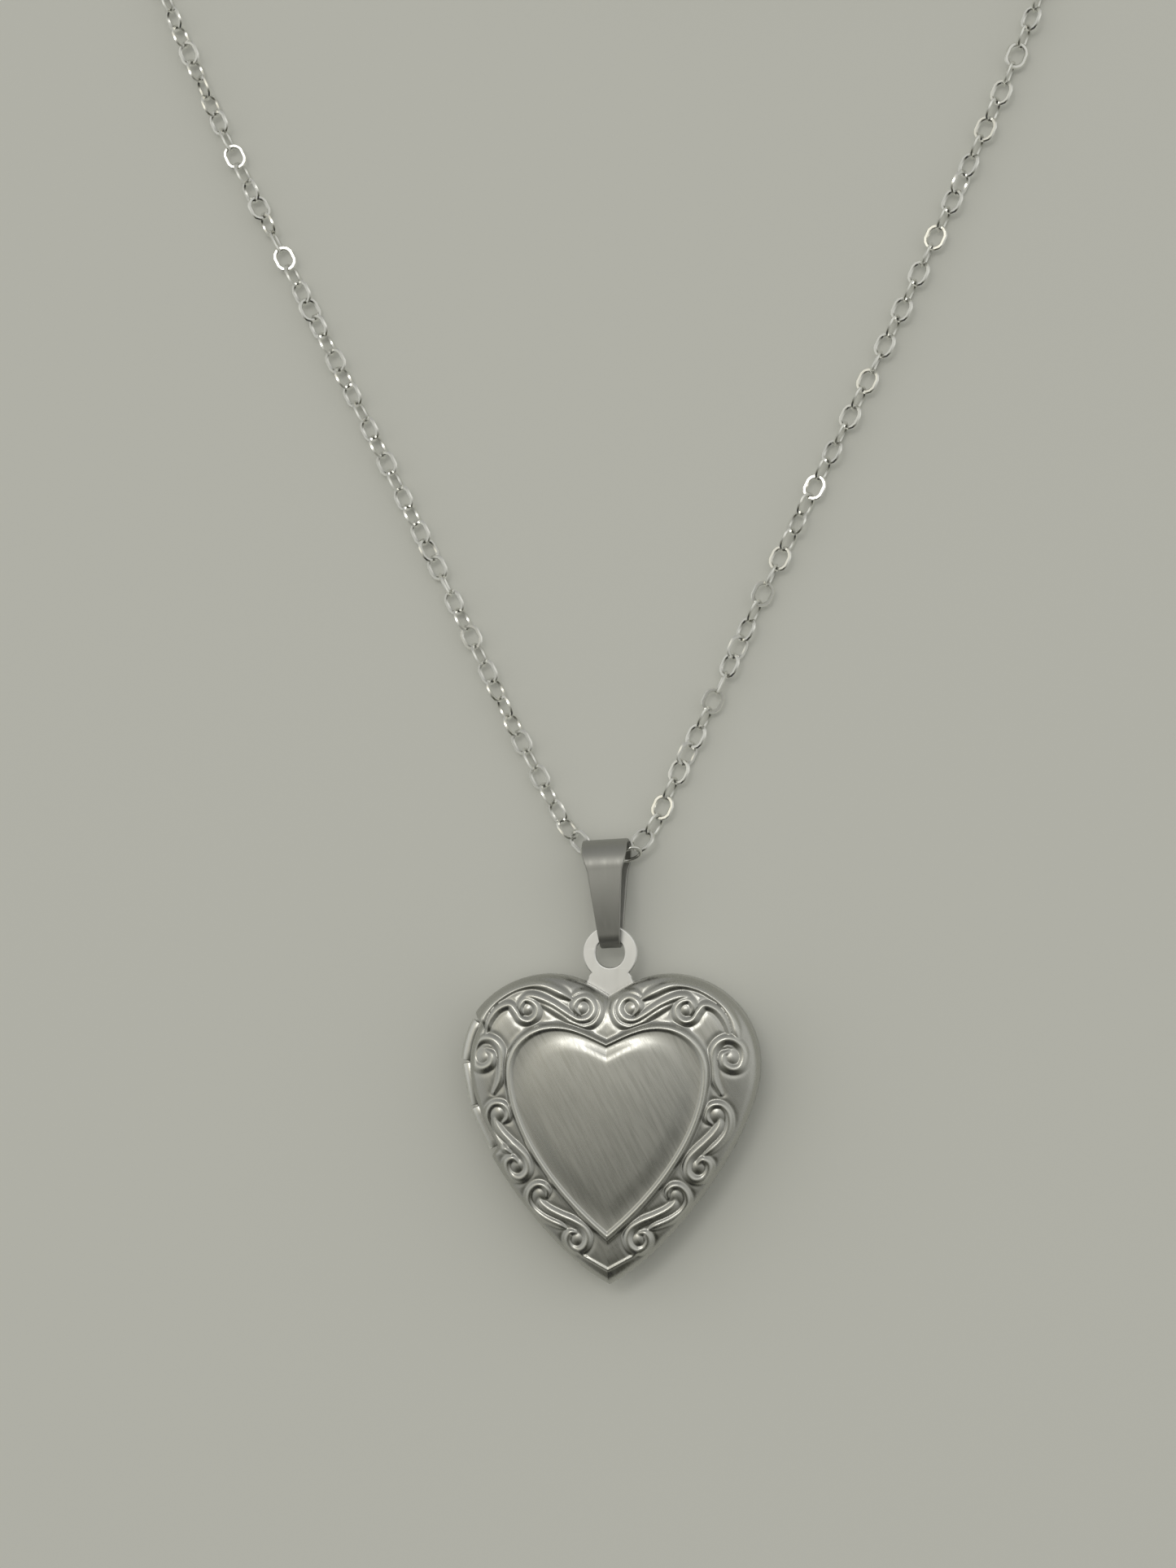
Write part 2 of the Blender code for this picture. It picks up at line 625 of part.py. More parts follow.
def make_clasp():
    thick = CLASP_HALF_THICK
    block_mesh = plate_mesh("clasp_body", CLASP_BLOCK, -thick, thick)
    body = clasp_piece("clasp_body", block_mesh, STEEL)
    eye_centre = (CLASP_EYE_X, 0.0)
    eye_ring = disc_points(eye_centre, CLASP_EYE_RADII[1])
    eye_mesh = plate_mesh("eye", eye_ring, -CLASP_EYE_HALF_THICK, CLASP_EYE_HALF_THICK)
    combine(body, as_guide(clasp_piece("clasp_eye", eye_mesh, STEEL)), "UNION")
    hook_route = [(x, y, 0.0) for x, y in CLASP_HOOK]
    hook_mesh = tube_mesh("hook", hook_route, CLASP_HOOK_RADIUS, sides=10)
    combine(body, as_guide(clasp_piece("clasp_hook", hook_mesh, STEEL)), "UNION")
    pin_room_ring = disc_points(LEVER_PIN, LEVER_PIN_RADIUS + FIT_GAP, 12)
    pin_room_mesh = plate_mesh("pin_room", pin_room_ring, -CUTTER_HALF, CUTTER_HALF)
    pin_room = as_guide(clasp_piece("lever_pin_hole", pin_room_mesh, STEEL))
    combine(body, pin_room, "DIFFERENCE")
    eye_hole_ring = disc_points(eye_centre, CLASP_EYE_RADII[0], 12)
    eye_hole_mesh = plate_mesh("eye_hole", eye_hole_ring, -CUTTER_HALF, CUTTER_HALF)
    combine(body, as_guide(clasp_piece("clasp_eye_hole", eye_hole_mesh, STEEL)), "DIFFERENCE")
    slot_half = LEVER_HALF_THICK + FIT_GAP
    slot_mesh = plate_mesh("lever_slot", LEVER_SLOT, -slot_half, slot_half)
    combine(body, as_guide(clasp_piece("lever_slot", slot_mesh, STEEL)), "DIFFERENCE")
    pocket_ends = ((SPRING_X[0] - FIT_GAP, SPRING_Y, 0.0), (SPRING_X[1] + FIT_GAP, SPRING_Y, 0.0))
    pocket_radius = SPRING_COIL_RADIUS + SPRING_WIRE + FIT_GAP
    pocket = clasp_piece("spring_pocket", tube_mesh("pocket", pocket_ends, pocket_radius), STEEL)
    combine(body, as_guide(pocket), "DIFFERENCE")

    lever_mesh = plate_mesh("clasp_lever", LEVER_OUTLINE, -LEVER_HALF_THICK, LEVER_HALF_THICK)
    lever = clasp_piece("clasp_lever", lever_mesh, STEEL, (*LEVER_PIN, 0.0))
    combine(lever, pin_room, "DIFFERENCE")
    pin_ring = disc_points(LEVER_PIN, LEVER_PIN_RADIUS, 12)
    pin_mesh = plate_mesh("clasp_pin", pin_ring, -LEVER_PIN_HALF, LEVER_PIN_HALF)
    clasp_piece("clasp_pin", pin_mesh, STEEL)
    clasp_piece("clasp_spring", spring_mesh(), STEEL)
    for name, reach, roll in JUMP_RINGS:
        size = JUMP_RING_SIZE
        place = (reach, 0.0, 0.0)
        ring_mesh = oval_link_mesh(name, place, 0.0, roll, size, size, JUMP_RING_WIRE)
        clasp_piece(name, ring_mesh, STEEL)


clear_scene()
room = make_hinge()
make_covers(room)
make_frames(room)
make_inserts()
make_bail()
make_chain()
make_clasp()
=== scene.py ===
"""A heart locket with a scrolled border, on a fine steel cable chain.

Metres, +Z up. The locket lies on its back: X runs across the heart, Y from its point to its
bail, and Z through its thickness. Sizes below are in millimetres, and MM turns them to metres.
"""

import math

import bmesh
import bpy
import numpy as np
from mathutils import Matrix, Vector


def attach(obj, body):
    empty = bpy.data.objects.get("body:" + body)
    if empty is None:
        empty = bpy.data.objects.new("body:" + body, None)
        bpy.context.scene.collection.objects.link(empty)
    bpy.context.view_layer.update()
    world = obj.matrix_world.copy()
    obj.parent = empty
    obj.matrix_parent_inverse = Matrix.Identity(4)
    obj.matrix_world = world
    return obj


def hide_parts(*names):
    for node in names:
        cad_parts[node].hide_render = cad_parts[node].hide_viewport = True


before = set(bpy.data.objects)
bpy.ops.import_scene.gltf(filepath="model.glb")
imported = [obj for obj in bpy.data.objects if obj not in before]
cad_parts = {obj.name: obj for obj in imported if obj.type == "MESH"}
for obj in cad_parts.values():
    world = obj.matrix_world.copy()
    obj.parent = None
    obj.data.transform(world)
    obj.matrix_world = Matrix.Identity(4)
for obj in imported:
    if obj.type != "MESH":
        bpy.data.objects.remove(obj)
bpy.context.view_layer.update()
MM = 0.001


# The view: straight down on the locket, from a little to its right and above its middle.
camera_data = bpy.data.cameras.new("camera")
camera_data.sensor_fit = "VERTICAL"
camera_data.sensor_height = 36.0
camera_data.lens = 71.1
camera_data.clip_start = 0.01
camera = bpy.data.objects.new("camera", camera_data)
camera.location = (0.03561, 0.01907, 0.2935)
camera.rotation_euler = [math.radians(angle) for angle in (1.339, 7.397, -0.232)]
bpy.context.scene.collection.objects.link(camera)
bpy.context.scene.camera = camera
bpy.context.scene.view_settings.view_transform = "Standard"


# The table: a plain pale matte sheet.
def plain_floor():
    material = bpy.data.materials.new("pale_table")
    material.use_nodes = True
    shader = material.node_tree.nodes["Principled BSDF"]
    shader.inputs["Base Color"].default_value = (0.80, 0.805, 0.765, 1.0)
    shader.inputs["Roughness"].default_value = 0.9
    shader.inputs["Specular IOR Level"].default_value = 0.1
    mesh = bpy.data.meshes.new("table")
    half = 1.5
    corners = [(-half, -half, 0.0), (half, -half, 0.0), (half, half, 0.0), (-half, half, 0.0)]
    mesh.from_pydata(corners, [], [(0, 1, 2, 3)])
    mesh.materials.append(material)
    table = bpy.data.objects.new("table", mesh)
    bpy.context.scene.collection.objects.link(table)


plain_floor()


# The room: soft grey light all round, a wide bright window beyond the bail end, and a dim side
# where someone leans over the point of the heart. Each lobe is (direction, sharpness, colour).
def reckon(nodes, kind, operation):
    node = nodes.new(kind)
    node.operation = operation
    return node


def light_room():
    soft_grey = (0.40, 0.40, 0.38)
    darkest = (0.04, 0.04, 0.04)
    window_place = Vector((-0.08, 0.26, 0.80))
    lobes = (
        ((-0.05, 0.20, 0.97), 40.0, (0.20, 0.20, 0.18)),
        ((-0.34, 0.26, 0.90), 24.0, (0.48, 0.44, 0.33)),
        ((0.34, 0.28, 0.90), 26.0, (0.32, 0.32, 0.31)),
        ((0.85, 0.10, 0.50), 3.0, (0.32, 0.32, 0.30)),
        ((-0.85, 0.10, 0.50), 3.0, (0.30, 0.30, 0.28)),
        ((0.0, -0.80, 0.60), 2.0, (-0.42, -0.42, -0.42)),
    )
    world = bpy.data.worlds.new("room")
    bpy.context.scene.world = world
    world.use_nodes = True
    nodes = world.node_tree.nodes
    links = world.node_tree.links
    background = nodes["Background"]
    aim = nodes.new("ShaderNodeTexCoord").outputs["Generated"]
    total = None
    for direction, sharpness, colour in lobes:
        dot = reckon(nodes, "ShaderNodeVectorMath", "DOT_PRODUCT")
        links.new(aim, dot.inputs[0])
        dot.inputs[1].default_value = Vector(direction).normalized()
        keep = reckon(nodes, "ShaderNodeMath", "MAXIMUM")
        keep.inputs[1].default_value = 0.0
        links.new(dot.outputs["Value"], keep.inputs[0])
        power = reckon(nodes, "ShaderNodeMath", "POWER")
        power.inputs[1].default_value = sharpness
        links.new(keep.outputs[0], power.inputs[0])
        tint = reckon(nodes, "ShaderNodeVectorMath", "SCALE")
        tint.inputs[0].default_value = colour
        links.new(power.outputs[0], tint.inputs["Scale"])
        add = reckon(nodes, "ShaderNodeVectorMath", "ADD")
        links.new(tint.outputs[0], add.inputs[0])
        if total is None:
            add.inputs[1].default_value = soft_grey
        else:
            links.new(total, add.inputs[1])
        total = add.outputs[0]
    lowest = reckon(nodes, "ShaderNodeVectorMath", "MAXIMUM")
    lowest.inputs[1].default_value = darkest
    links.new(total, lowest.inputs[0])
    links.new(lowest.outputs[0], background.inputs["Color"])
    background.inputs["Strength"].default_value = 1.0
    lamp_data = bpy.data.lights.new("window", "AREA")
    lamp_data.shape = "RECTANGLE"
    lamp_data.size = 0.30
    lamp_data.size_y = 0.14
    lamp_data.energy = 0.55
    lamp_data.color = (1.0, 0.985, 0.95)
    lamp = bpy.data.objects.new("window", lamp_data)
    lamp.location = window_place
    lamp.rotation_euler = window_place.to_track_quat("Z", "Y").to_euler()
    bpy.context.scene.collection.objects.link(lamp)


light_room()


# Steel: every piece is the same stainless steel, told apart by how it was finished; the chain and
# tab colours are also painted light and the bail's painted dark, for the light they catch. The
# scratch group gives fine strokes along one direction, and the other group finds the edges that wear
# polishes and paints shade into the hollows that ambient occlusion finds.
def group_with(name, inputs, outputs):
    tree = bpy.data.node_groups.new(name, "ShaderNodeTree")
    for socket, kind, value in inputs:
        made = tree.interface.new_socket(socket, in_out="INPUT", socket_type=kind)
        if value is not None:
            made.default_value = value
    for socket, kind in outputs:
        tree.interface.new_socket(socket, in_out="OUTPUT", socket_type=kind)
    return tree, tree.nodes.new("NodeGroupInput"), tree.nodes.new("NodeGroupOutput")


def scratch_group():
    number = "NodeSocketFloat"
    tree, given, out = group_with(
        "polishing_strokes",
        (("Stroke Turn", number, 0.0), ("Strokes per mm", number, 4.0),
         ("Stroke Stretch", number, 14.0), ("Blotches per mm", number, 0.18)),
        (("Strokes", number), ("Blotches", number)),
    )
    nodes = tree.nodes
    links = tree.links
    place = nodes.new("ShaderNodeTexCoord").outputs["Object"]
    turn = nodes.new("ShaderNodeCombineXYZ")
    links.new(given.outputs["Stroke Turn"], turn.inputs["Z"])
    spin = nodes.new("ShaderNodeVectorRotate")
    spin.rotation_type = "EULER_XYZ"
    links.new(place, spin.inputs["Vector"])
    links.new(turn.outputs[0], spin.inputs["Rotation"])
    to_mm = reckon(nodes, "ShaderNodeVectorMath", "SCALE")
    to_mm.inputs["Scale"].default_value = 1 / MM
    links.new(spin.outputs[0], to_mm.inputs[0])
    share = reckon(nodes, "ShaderNodeMath", "DIVIDE")
    share.inputs[0].default_value = 1.0
    links.new(given.outputs["Stroke Stretch"], share.inputs[1])
    squeeze = nodes.new("ShaderNodeCombineXYZ")
    squeeze.inputs["X"].default_value = 1.0
    squeeze.inputs["Z"].default_value = 1.0
    links.new(share.outputs[0], squeeze.inputs["Y"])
    stretched = reckon(nodes, "ShaderNodeVectorMath", "MULTIPLY")
    links.new(to_mm.outputs[0], stretched.inputs[0])
    links.new(squeeze.outputs[0], stretched.inputs[1])
    strokes = nodes.new("ShaderNodeTexNoise")
    strokes.inputs["Detail"].default_value = 4.0
    strokes.inputs["Roughness"].default_value = 0.65
    links.new(stretched.outputs[0], strokes.inputs["Vector"])
    links.new(given.outputs["Strokes per mm"], strokes.inputs["Scale"])
    blotches = nodes.new("ShaderNodeTexNoise")
    blotches.inputs["Detail"].default_value = 3.0
    links.new(to_mm.outputs[0], blotches.inputs["Vector"])
    links.new(given.outputs["Blotches per mm"], blotches.inputs["Scale"])
    links.new(strokes.outputs["Fac"], out.inputs["Strokes"])
    links.new(blotches.outputs["Fac"], out.inputs["Blotches"])
    return tree


def hollow_shade_and_edge_group():
    number = "NodeSocketFloat"
    tree, given, out = group_with(
        "hollows_and_edges",
        (("Reach", number, 0.001), ("Depth", number, 1.0)),
        (("Painted Hollow Shade", number), ("Edge", number)),
    )
    nodes = tree.nodes
    links = tree.links
    # Painted shade: the colour darkens in hollows by how much ambient occlusion shuts them in.
    shut_in = nodes.new("ShaderNodeAmbientOcclusion")
    shut_in.samples = 6
    links.new(given.outputs["Reach"], shut_in.inputs["Distance"])
    inverse = reckon(nodes, "ShaderNodeMath", "SUBTRACT")
    inverse.inputs[0].default_value = 1.0
    links.new(shut_in.outputs["AO"], inverse.inputs[1])
    deep = reckon(nodes, "ShaderNodeMath", "MULTIPLY")
    deep.use_clamp = True
    links.new(inverse.outputs[0], deep.inputs[0])
    links.new(given.outputs["Depth"], deep.inputs[1])
    links.new(deep.outputs[0], out.inputs["Painted Hollow Shade"])
    geometry = nodes.new("ShaderNodeNewGeometry")
    crisp = nodes.new("ShaderNodeMapRange")
    crisp.inputs["From Min"].default_value = 0.52
    crisp.inputs["From Max"].default_value = 0.64
    links.new(geometry.outputs["Pointiness"], crisp.inputs["Value"])
    links.new(crisp.outputs["Result"], out.inputs["Edge"])
    return tree


STROKES = scratch_group()
HOLLOW_SHADE_AND_EDGES = hollow_shade_and_edge_group()


def steel(name, bright, dulled_and_shaded, smoothest, roughest, turn, per_mm, stretch, bump, reach, depth,
          crest=None):
    """One steel finish: its clean colour, its darker colour where blotched and where painted shade
    fills its hollows, its gloss, and its polishing strokes.

    Its high places are polished: those a crest attribute marks, or else its edges.
    """
    material = bpy.data.materials.new(name)
    material.use_nodes = True
    nodes = material.node_tree.nodes
    links = material.node_tree.links
    shader = nodes["Principled BSDF"]
    shader.inputs["Metallic"].default_value = 1.0
    strokes = nodes.new("ShaderNodeGroup")
    strokes.node_tree = STROKES
    strokes.inputs["Stroke Turn"].default_value = math.radians(turn)
    strokes.inputs["Strokes per mm"].default_value = per_mm
    strokes.inputs["Stroke Stretch"].default_value = stretch
    shade_and_edges = nodes.new("ShaderNodeGroup")
    shade_and_edges.node_tree = HOLLOW_SHADE_AND_EDGES
    shade_and_edges.inputs["Reach"].default_value = reach * MM
    shade_and_edges.inputs["Depth"].default_value = depth
    # Blotches of dirt and the painted shade in hollows mix the colour towards its darker tone.
    blotches_and_shade = reckon(nodes, "ShaderNodeMath", "MULTIPLY_ADD")
    blotches_and_shade.use_clamp = True
    blotches_and_shade.inputs[1].default_value = 0.45
    links.new(strokes.outputs["Blotches"], blotches_and_shade.inputs[0])
    links.new(shade_and_edges.outputs["Painted Hollow Shade"], blotches_and_shade.inputs[2])
    tone = nodes.new("ShaderNodeMix")
    tone.data_type = "RGBA"
    tone.inputs["A"].default_value = (*bright, 1.0)
    tone.inputs["B"].default_value = (*dulled_and_shaded, 1.0)
    links.new(blotches_and_shade.outputs[0], tone.inputs["Factor"])
    polished = nodes.new("ShaderNodeMix")
    polished.data_type = "RGBA"
    polished.inputs["B"].default_value = (*[min(1.0, c * 1.15) for c in bright], 1.0)
    high_places = shade_and_edges.outputs["Edge"]
    if crest:
        marked = nodes.new("ShaderNodeAttribute")
        marked.attribute_name = crest
        rubbed = nodes.new("ShaderNodeMapRange")
        rubbed.inputs["From Min"].default_value = 0.55
        rubbed.inputs["From Max"].default_value = 0.95
        links.new(marked.outputs["Fac"], rubbed.inputs["Value"])
        high_places = rubbed.outputs["Result"]
    links.new(high_places, polished.inputs["Factor"])
    links.new(tone.outputs["Result"], polished.inputs["A"])
    links.new(polished.outputs["Result"], shader.inputs["Base Color"])
    gloss = nodes.new("ShaderNodeMapRange")
    gloss.inputs["From Min"].default_value = 0.3
    gloss.inputs["From Max"].default_value = 0.7
    gloss.inputs["To Min"].default_value = smoothest
    gloss.inputs["To Max"].default_value = roughest
    links.new(strokes.outputs["Strokes"], gloss.inputs["Value"])
    links.new(gloss.outputs["Result"], shader.inputs["Roughness"])
    relief = nodes.new("ShaderNodeBump")
    relief.inputs["Strength"].default_value = bump
    relief.inputs["Distance"].default_value = 0.02 * MM
    links.new(strokes.outputs["Strokes"], relief.inputs["Height"])
    links.new(relief.outputs["Normal"], shader.inputs["Normal"])
    return material


# Cable chain: oval links of flattened steel wire, each a quarter turn from the next. Two strands
# leave the bail, and their far ends are wound side by side in a flat coil round the clasp.
LINK_PITCH = 1.87
TABLE_Z = 1.06
COIL_CENTRE = (30.4, 118.6)
COIL_STEP = 4.4
COIL_DEGREES = 20
TAIL_BEND = 4.6
TAIL_DEGREES = 18
LEFT_ROUTE = (
    (-3.02, 20.63, 1.61), (-4.22, 21.80, 1.16), (-5.45, 23.92, TABLE_Z), (-8.00, 28.76, TABLE_Z),
    (-13.87, 40.90, TABLE_Z), (-21.37, 56.31, TABLE_Z), (-29.08, 71.85, TABLE_Z),
    (-36.97, 87.93, TABLE_Z), (-40.63, 96.11, TABLE_Z), (-43.45, 102.87, TABLE_Z),
    (-45.20, 108.40, TABLE_Z), (-44.30, 112.90, TABLE_Z), (-40.40, 115.30, TABLE_Z),
    (-33.60, 114.90, TABLE_Z), (-22.60, 111.40, TABLE_Z), (-10.20, 108.20, TABLE_Z),
    (2.00, 106.10, TABLE_Z), (12.00, 105.15, TABLE_Z), (20.20, 104.95, TABLE_Z),
)
RIGHT_ROUTE = (
    (2.89, 20.77, 1.64), (4.00, 22.10, 1.16), (4.95, 24.28, TABLE_Z), (9.96, 34.58, TABLE_Z),
    (13.87, 42.84, TABLE_Z), (19.32, 53.94, TABLE_Z), (23.97, 63.10, TABLE_Z),
    (30.94, 77.56, TABLE_Z), (37.90, 92.73, TABLE_Z), (40.59, 99.56, TABLE_Z),
    (42.40, 105.60, TABLE_Z),
)


def coil_place(radius, turn):
    return (COIL_CENTRE[0] + radius * math.cos(turn), COIL_CENTRE[1] + radius * math.sin(turn),
            TABLE_Z)


def wound_in(radius, first, last):
    """The stored length: an inward spiral, then a bend in to the fitting at the middle."""
    points = []
    steps = int((last - first) / COIL_DEGREES)
    for i in range(steps + 1):
        turn = first + (last - first) * i / steps
        points.append(coil_place(radius - COIL_STEP * (turn - first) / 360, math.radians(turn)))
    end_radius = radius - COIL_STEP * (last - first) / 360
    hub = Vector(coil_place(end_radius - TAIL_BEND, math.radians(last)))
    for bend in range(TAIL_DEGREES, 90, TAIL_DEGREES):
        turn = math.radians(last + bend)
        points.append(tuple(hub + Vector((math.cos(turn), math.sin(turn), 0.0)) * TAIL_BEND))
    return points


def even_route(points, spacing):
    """Even steps along a smooth curve through the points, in metres."""
    knots = [Vector(p) * MM for p in points]
    knots = [knots[0] * 2 - knots[1]] + knots + [knots[-1] * 2 - knots[-2]]
    fine = []
    for i in range(1, len(knots) - 2):
        p0, p1, p2, p3 = knots[i - 1:i + 3]
        chord = (p2 - p1).length
        slope_in = ((p1 - p0) / (p1 - p0).length + (p2 - p1) / chord) / 2 * chord
        slope_out = ((p2 - p1) / chord + (p3 - p2) / (p3 - p2).length) / 2 * chord
        for k in range(16):
            t = k / 16
            fine.append(p1 * (2 * t ** 3 - 3 * t ** 2 + 1) + slope_in * (t ** 3 - 2 * t ** 2 + t)
                        + p2 * (3 * t ** 2 - 2 * t ** 3) + slope_out * (t ** 3 - t ** 2))
    fine.append(knots[-2])
    marks = [0.0]
    for a, b in zip(fine, fine[1:]):
        marks.append(marks[-1] + (b - a).length)
    count = round(marks[-1] / (spacing * MM)) + 1
    even = []
    step = 0
    for n in range(count):
        target = marks[-1] * n / (count - 1)
        while step < len(fine) - 2 and marks[step + 1] < target:
            step += 1
        share = (target - marks[step]) / (marks[step + 1] - marks[step])
        even.append(fine[step].lerp(fine[step + 1], share))
    return even, marks[-1]


def chain_tree():
    """Geometry Nodes: an oval link on every point of a strand, rolled in turn."""
    tree = bpy.data.node_groups.new("cable_chain", "GeometryNodeTree")
    face = tree.interface
    face.new_socket("Strand", in_out="INPUT", socket_type="NodeSocketGeometry")
    for name, value in (("Link Length", 2.6), ("Link Width", 2.12), ("Wire Width", 0.42),
                        ("Wire Thickness", 0.32), ("First Roll", -0.5), ("Roll Drift", 0.5),
                        ("Drift Start", 0.0)):
        socket = face.new_socket(name, in_out="INPUT", socket_type="NodeSocketFloat")
        socket.default_value = value
    face.new_socket("Steel", in_out="INPUT", socket_type="NodeSocketMaterial")
    face.new_socket("Links", in_out="OUTPUT", socket_type="NodeSocketGeometry")
    nodes = tree.nodes
    links = tree.links
    given = nodes.new("NodeGroupInput")
    out = nodes.new("NodeGroupOutput")

    def sum_of(operation, first, second, third=None):
        node = reckon(nodes, "ShaderNodeMath", operation)
        for slot, value in enumerate((first, second, third)):
            if value is None:
                continue
            if isinstance(value, (int, float)):
                node.inputs[slot].default_value = value
            else:
                links.new(value, node.inputs[slot])
        return node.outputs[0]

    half_width = sum_of("MULTIPLY", given.outputs["Link Width"], 0.5 * MM)
    half_wire = sum_of("MULTIPLY", given.outputs["Wire Width"], 0.5 * MM)
    half_thick = sum_of("MULTIPLY", given.outputs["Wire Thickness"], 0.5 * MM)
    bend = sum_of("SUBTRACT", half_width, half_wire)
    spare = sum_of("SUBTRACT", given.outputs["Link Length"], given.outputs["Link Width"])
    straight = sum_of("MULTIPLY", spare, 0.5 * MM)
    ring = nodes.new("GeometryNodeCurvePrimitiveCircle")
    ring.inputs["Resolution"].default_value = 14
    ring.inputs["Radius"].default_value = 1.0
    apart = nodes.new("ShaderNodeSeparateXYZ")
    links.new(nodes.new("GeometryNodeInputPosition").outputs[0], apart.inputs[0])
    sign = sum_of("SIGN", apart.outputs["X"], None)
    along = sum_of("MULTIPLY_ADD", apart.outputs["X"], bend, sum_of("MULTIPLY", sign, straight))
    across = sum_of("MULTIPLY", apart.outputs["Y"], bend)
    together = nodes.new("ShaderNodeCombineXYZ")
    links.new(along, together.inputs["X"])
    links.new(across, together.inputs["Y"])
    oval = nodes.new("GeometryNodeSetPosition")
    links.new(ring.outputs["Curve"], oval.inputs["Geometry"])
    links.new(together.outputs[0], oval.inputs["Position"])
    section = nodes.new("GeometryNodeCurvePrimitiveCircle")
    section.inputs["Resolution"].default_value = 6
    section.inputs["Radius"].default_value = 1.0
    flatten = nodes.new("GeometryNodeTransform")
    sizes = nodes.new("ShaderNodeCombineXYZ")
    links.new(half_wire, sizes.inputs["X"])
    links.new(half_thick, sizes.inputs["Y"])
    sizes.inputs["Z"].default_value = 1.0
    links.new(section.outputs["Curve"], flatten.inputs["Geometry"])
    links.new(sizes.outputs[0], flatten.inputs["Scale"])
    wire = nodes.new("GeometryNodeCurveToMesh")
    links.new(oval.outputs[0], wire.inputs["Curve"])
    links.new(flatten.outputs[0], wire.inputs["Profile Curve"])

    points = nodes.new("GeometryNodeCurveToPoints")
    points.mode = "EVALUATED"
    links.new(given.outputs["Strand"], points.inputs["Curve"])
    follow = nodes.new("FunctionNodeAlignRotationToVector")
    follow.axis = "X"
    links.new(points.outputs["Tangent"], follow.inputs["Vector"])
    upright = nodes.new("FunctionNodeAlignRotationToVector")
    upright.axis = "Z"
    upright.pivot_axis = "X"
    upright.inputs["Vector"].default_value = (0.0, 0.0, 1.0)
    links.new(follow.outputs[0], upright.inputs["Rotation"])
    number = nodes.new("GeometryNodeInputIndex").outputs[0]
    drift = nodes.new("ShaderNodeTexNoise")
    drift.noise_dimensions = "1D"
    drift.inputs["Scale"].default_value = 1.0
    drift.inputs["Detail"].default_value = 1.0
    links.new(sum_of("MULTIPLY_ADD", number, 0.31, given.outputs["Drift Start"]), drift.inputs["W"])
    wander = sum_of("MULTIPLY", sum_of("SUBTRACT", drift.outputs["Fac"], 0.5), 4.0)
    quarter = sum_of("MULTIPLY", sum_of("MODULO", number, 2.0), math.pi / 2)
    settled = sum_of("ADD", given.outputs["First Roll"], quarter)
    roll = sum_of("MULTIPLY_ADD", wander, given.outputs["Roll Drift"], settled)
    about = nodes.new("FunctionNodeAxisAngleToRotation")
    about.inputs["Axis"].default_value = (1.0, 0.0, 0.0)
    links.new(roll, about.inputs["Angle"])
    rolled = nodes.new("FunctionNodeRotateRotation")
    rolled.rotation_space = "LOCAL"
    links.new(upright.outputs[0], rolled.inputs[0])
    links.new(about.outputs[0], rolled.inputs[1])
    place = nodes.new("GeometryNodeInstanceOnPoints")
    links.new(points.outputs["Points"], place.inputs["Points"])
    links.new(wire.outputs["Mesh"], place.inputs["Instance"])
    links.new(rolled.outputs[0], place.inputs["Rotation"])
    real = nodes.new("GeometryNodeRealizeInstances")
    links.new(place.outputs[0], real.inputs[0])
    coat = nodes.new("GeometryNodeSetMaterial")
    links.new(real.outputs[0], coat.inputs["Geometry"])
    links.new(given.outputs["Steel"], coat.inputs["Material"])
    links.new(coat.outputs[0], out.inputs["Links"])
    return tree


def faces_out(mesh):
    bm = bmesh.new()
    bm.from_mesh(mesh)
    bmesh.ops.recalc_face_normals(bm, faces=bm.faces)
    bm.to_mesh(mesh)
    bm.free()


def finished(form):
    """The plain mesh that a form's modifiers or curve make. The form itself is cleared away."""
    shown = form.evaluated_get(bpy.context.evaluated_depsgraph_get())
    mesh = bpy.data.meshes.new_from_object(shown)
    form.modifiers.clear()
    bpy.data.objects.remove(form, do_unlink=True)
    return mesh


def link_up(name, mesh, body, sharp=35.0):
    """Put a finished mesh in the scene, riding on its body."""
    mesh.name = name
    mesh.shade_smooth()
    mesh.set_sharp_from_angle(angle=math.radians(sharp))
    piece = bpy.data.objects.new(name, mesh)
    bpy.context.scene.collection.objects.link(piece)
    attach(piece, body)
    return piece


CHAIN_TREE = chain_tree()
# The chain steel's colour is painted light, for the glints of the bright room that its links catch.
CHAIN_STEEL = steel("chain_steel", (0.84, 0.84, 0.81), (0.24, 0.24, 0.22), 0.12, 0.24,
                    0.0, 3.0, 2.0, 0.18, 0.5, 1.6)
LINK_WIDTH = 2.12
LINK_LENGTH = 2.6


def strand(name, points, first_roll, drift_start):
    """Links along one strand, as a plain mesh, with the line it follows and its length."""
    centres, length = even_route(points, LINK_PITCH)
    curve = bpy.data.curves.new(name + "_line", "CURVE")
    curve.dimensions = "3D"
    spline = curve.splines.new("POLY")
    spline.points.add(len(centres) - 1)
    for knot, centre in zip(spline.points, centres):
        knot.co = (*centre, 1.0)
    line = bpy.data.objects.new(name + "_line", curve)
    bpy.context.scene.collection.objects.link(line)
    links = line.modifiers.new("links", "NODES")
    links.node_group = CHAIN_TREE
    values = {"Steel": CHAIN_STEEL, "First Roll": first_roll, "Drift Start": drift_start}
    for item in CHAIN_TREE.interface.items_tree:
        if item.in_out == "INPUT" and item.name in values:
            links[item.identifier] = values[item.name]
    mesh = finished(line)
    faces_out(mesh)
    piece = link_up(name, mesh, "chain", 45.0)
    return piece, [tuple(c) for c in centres], length


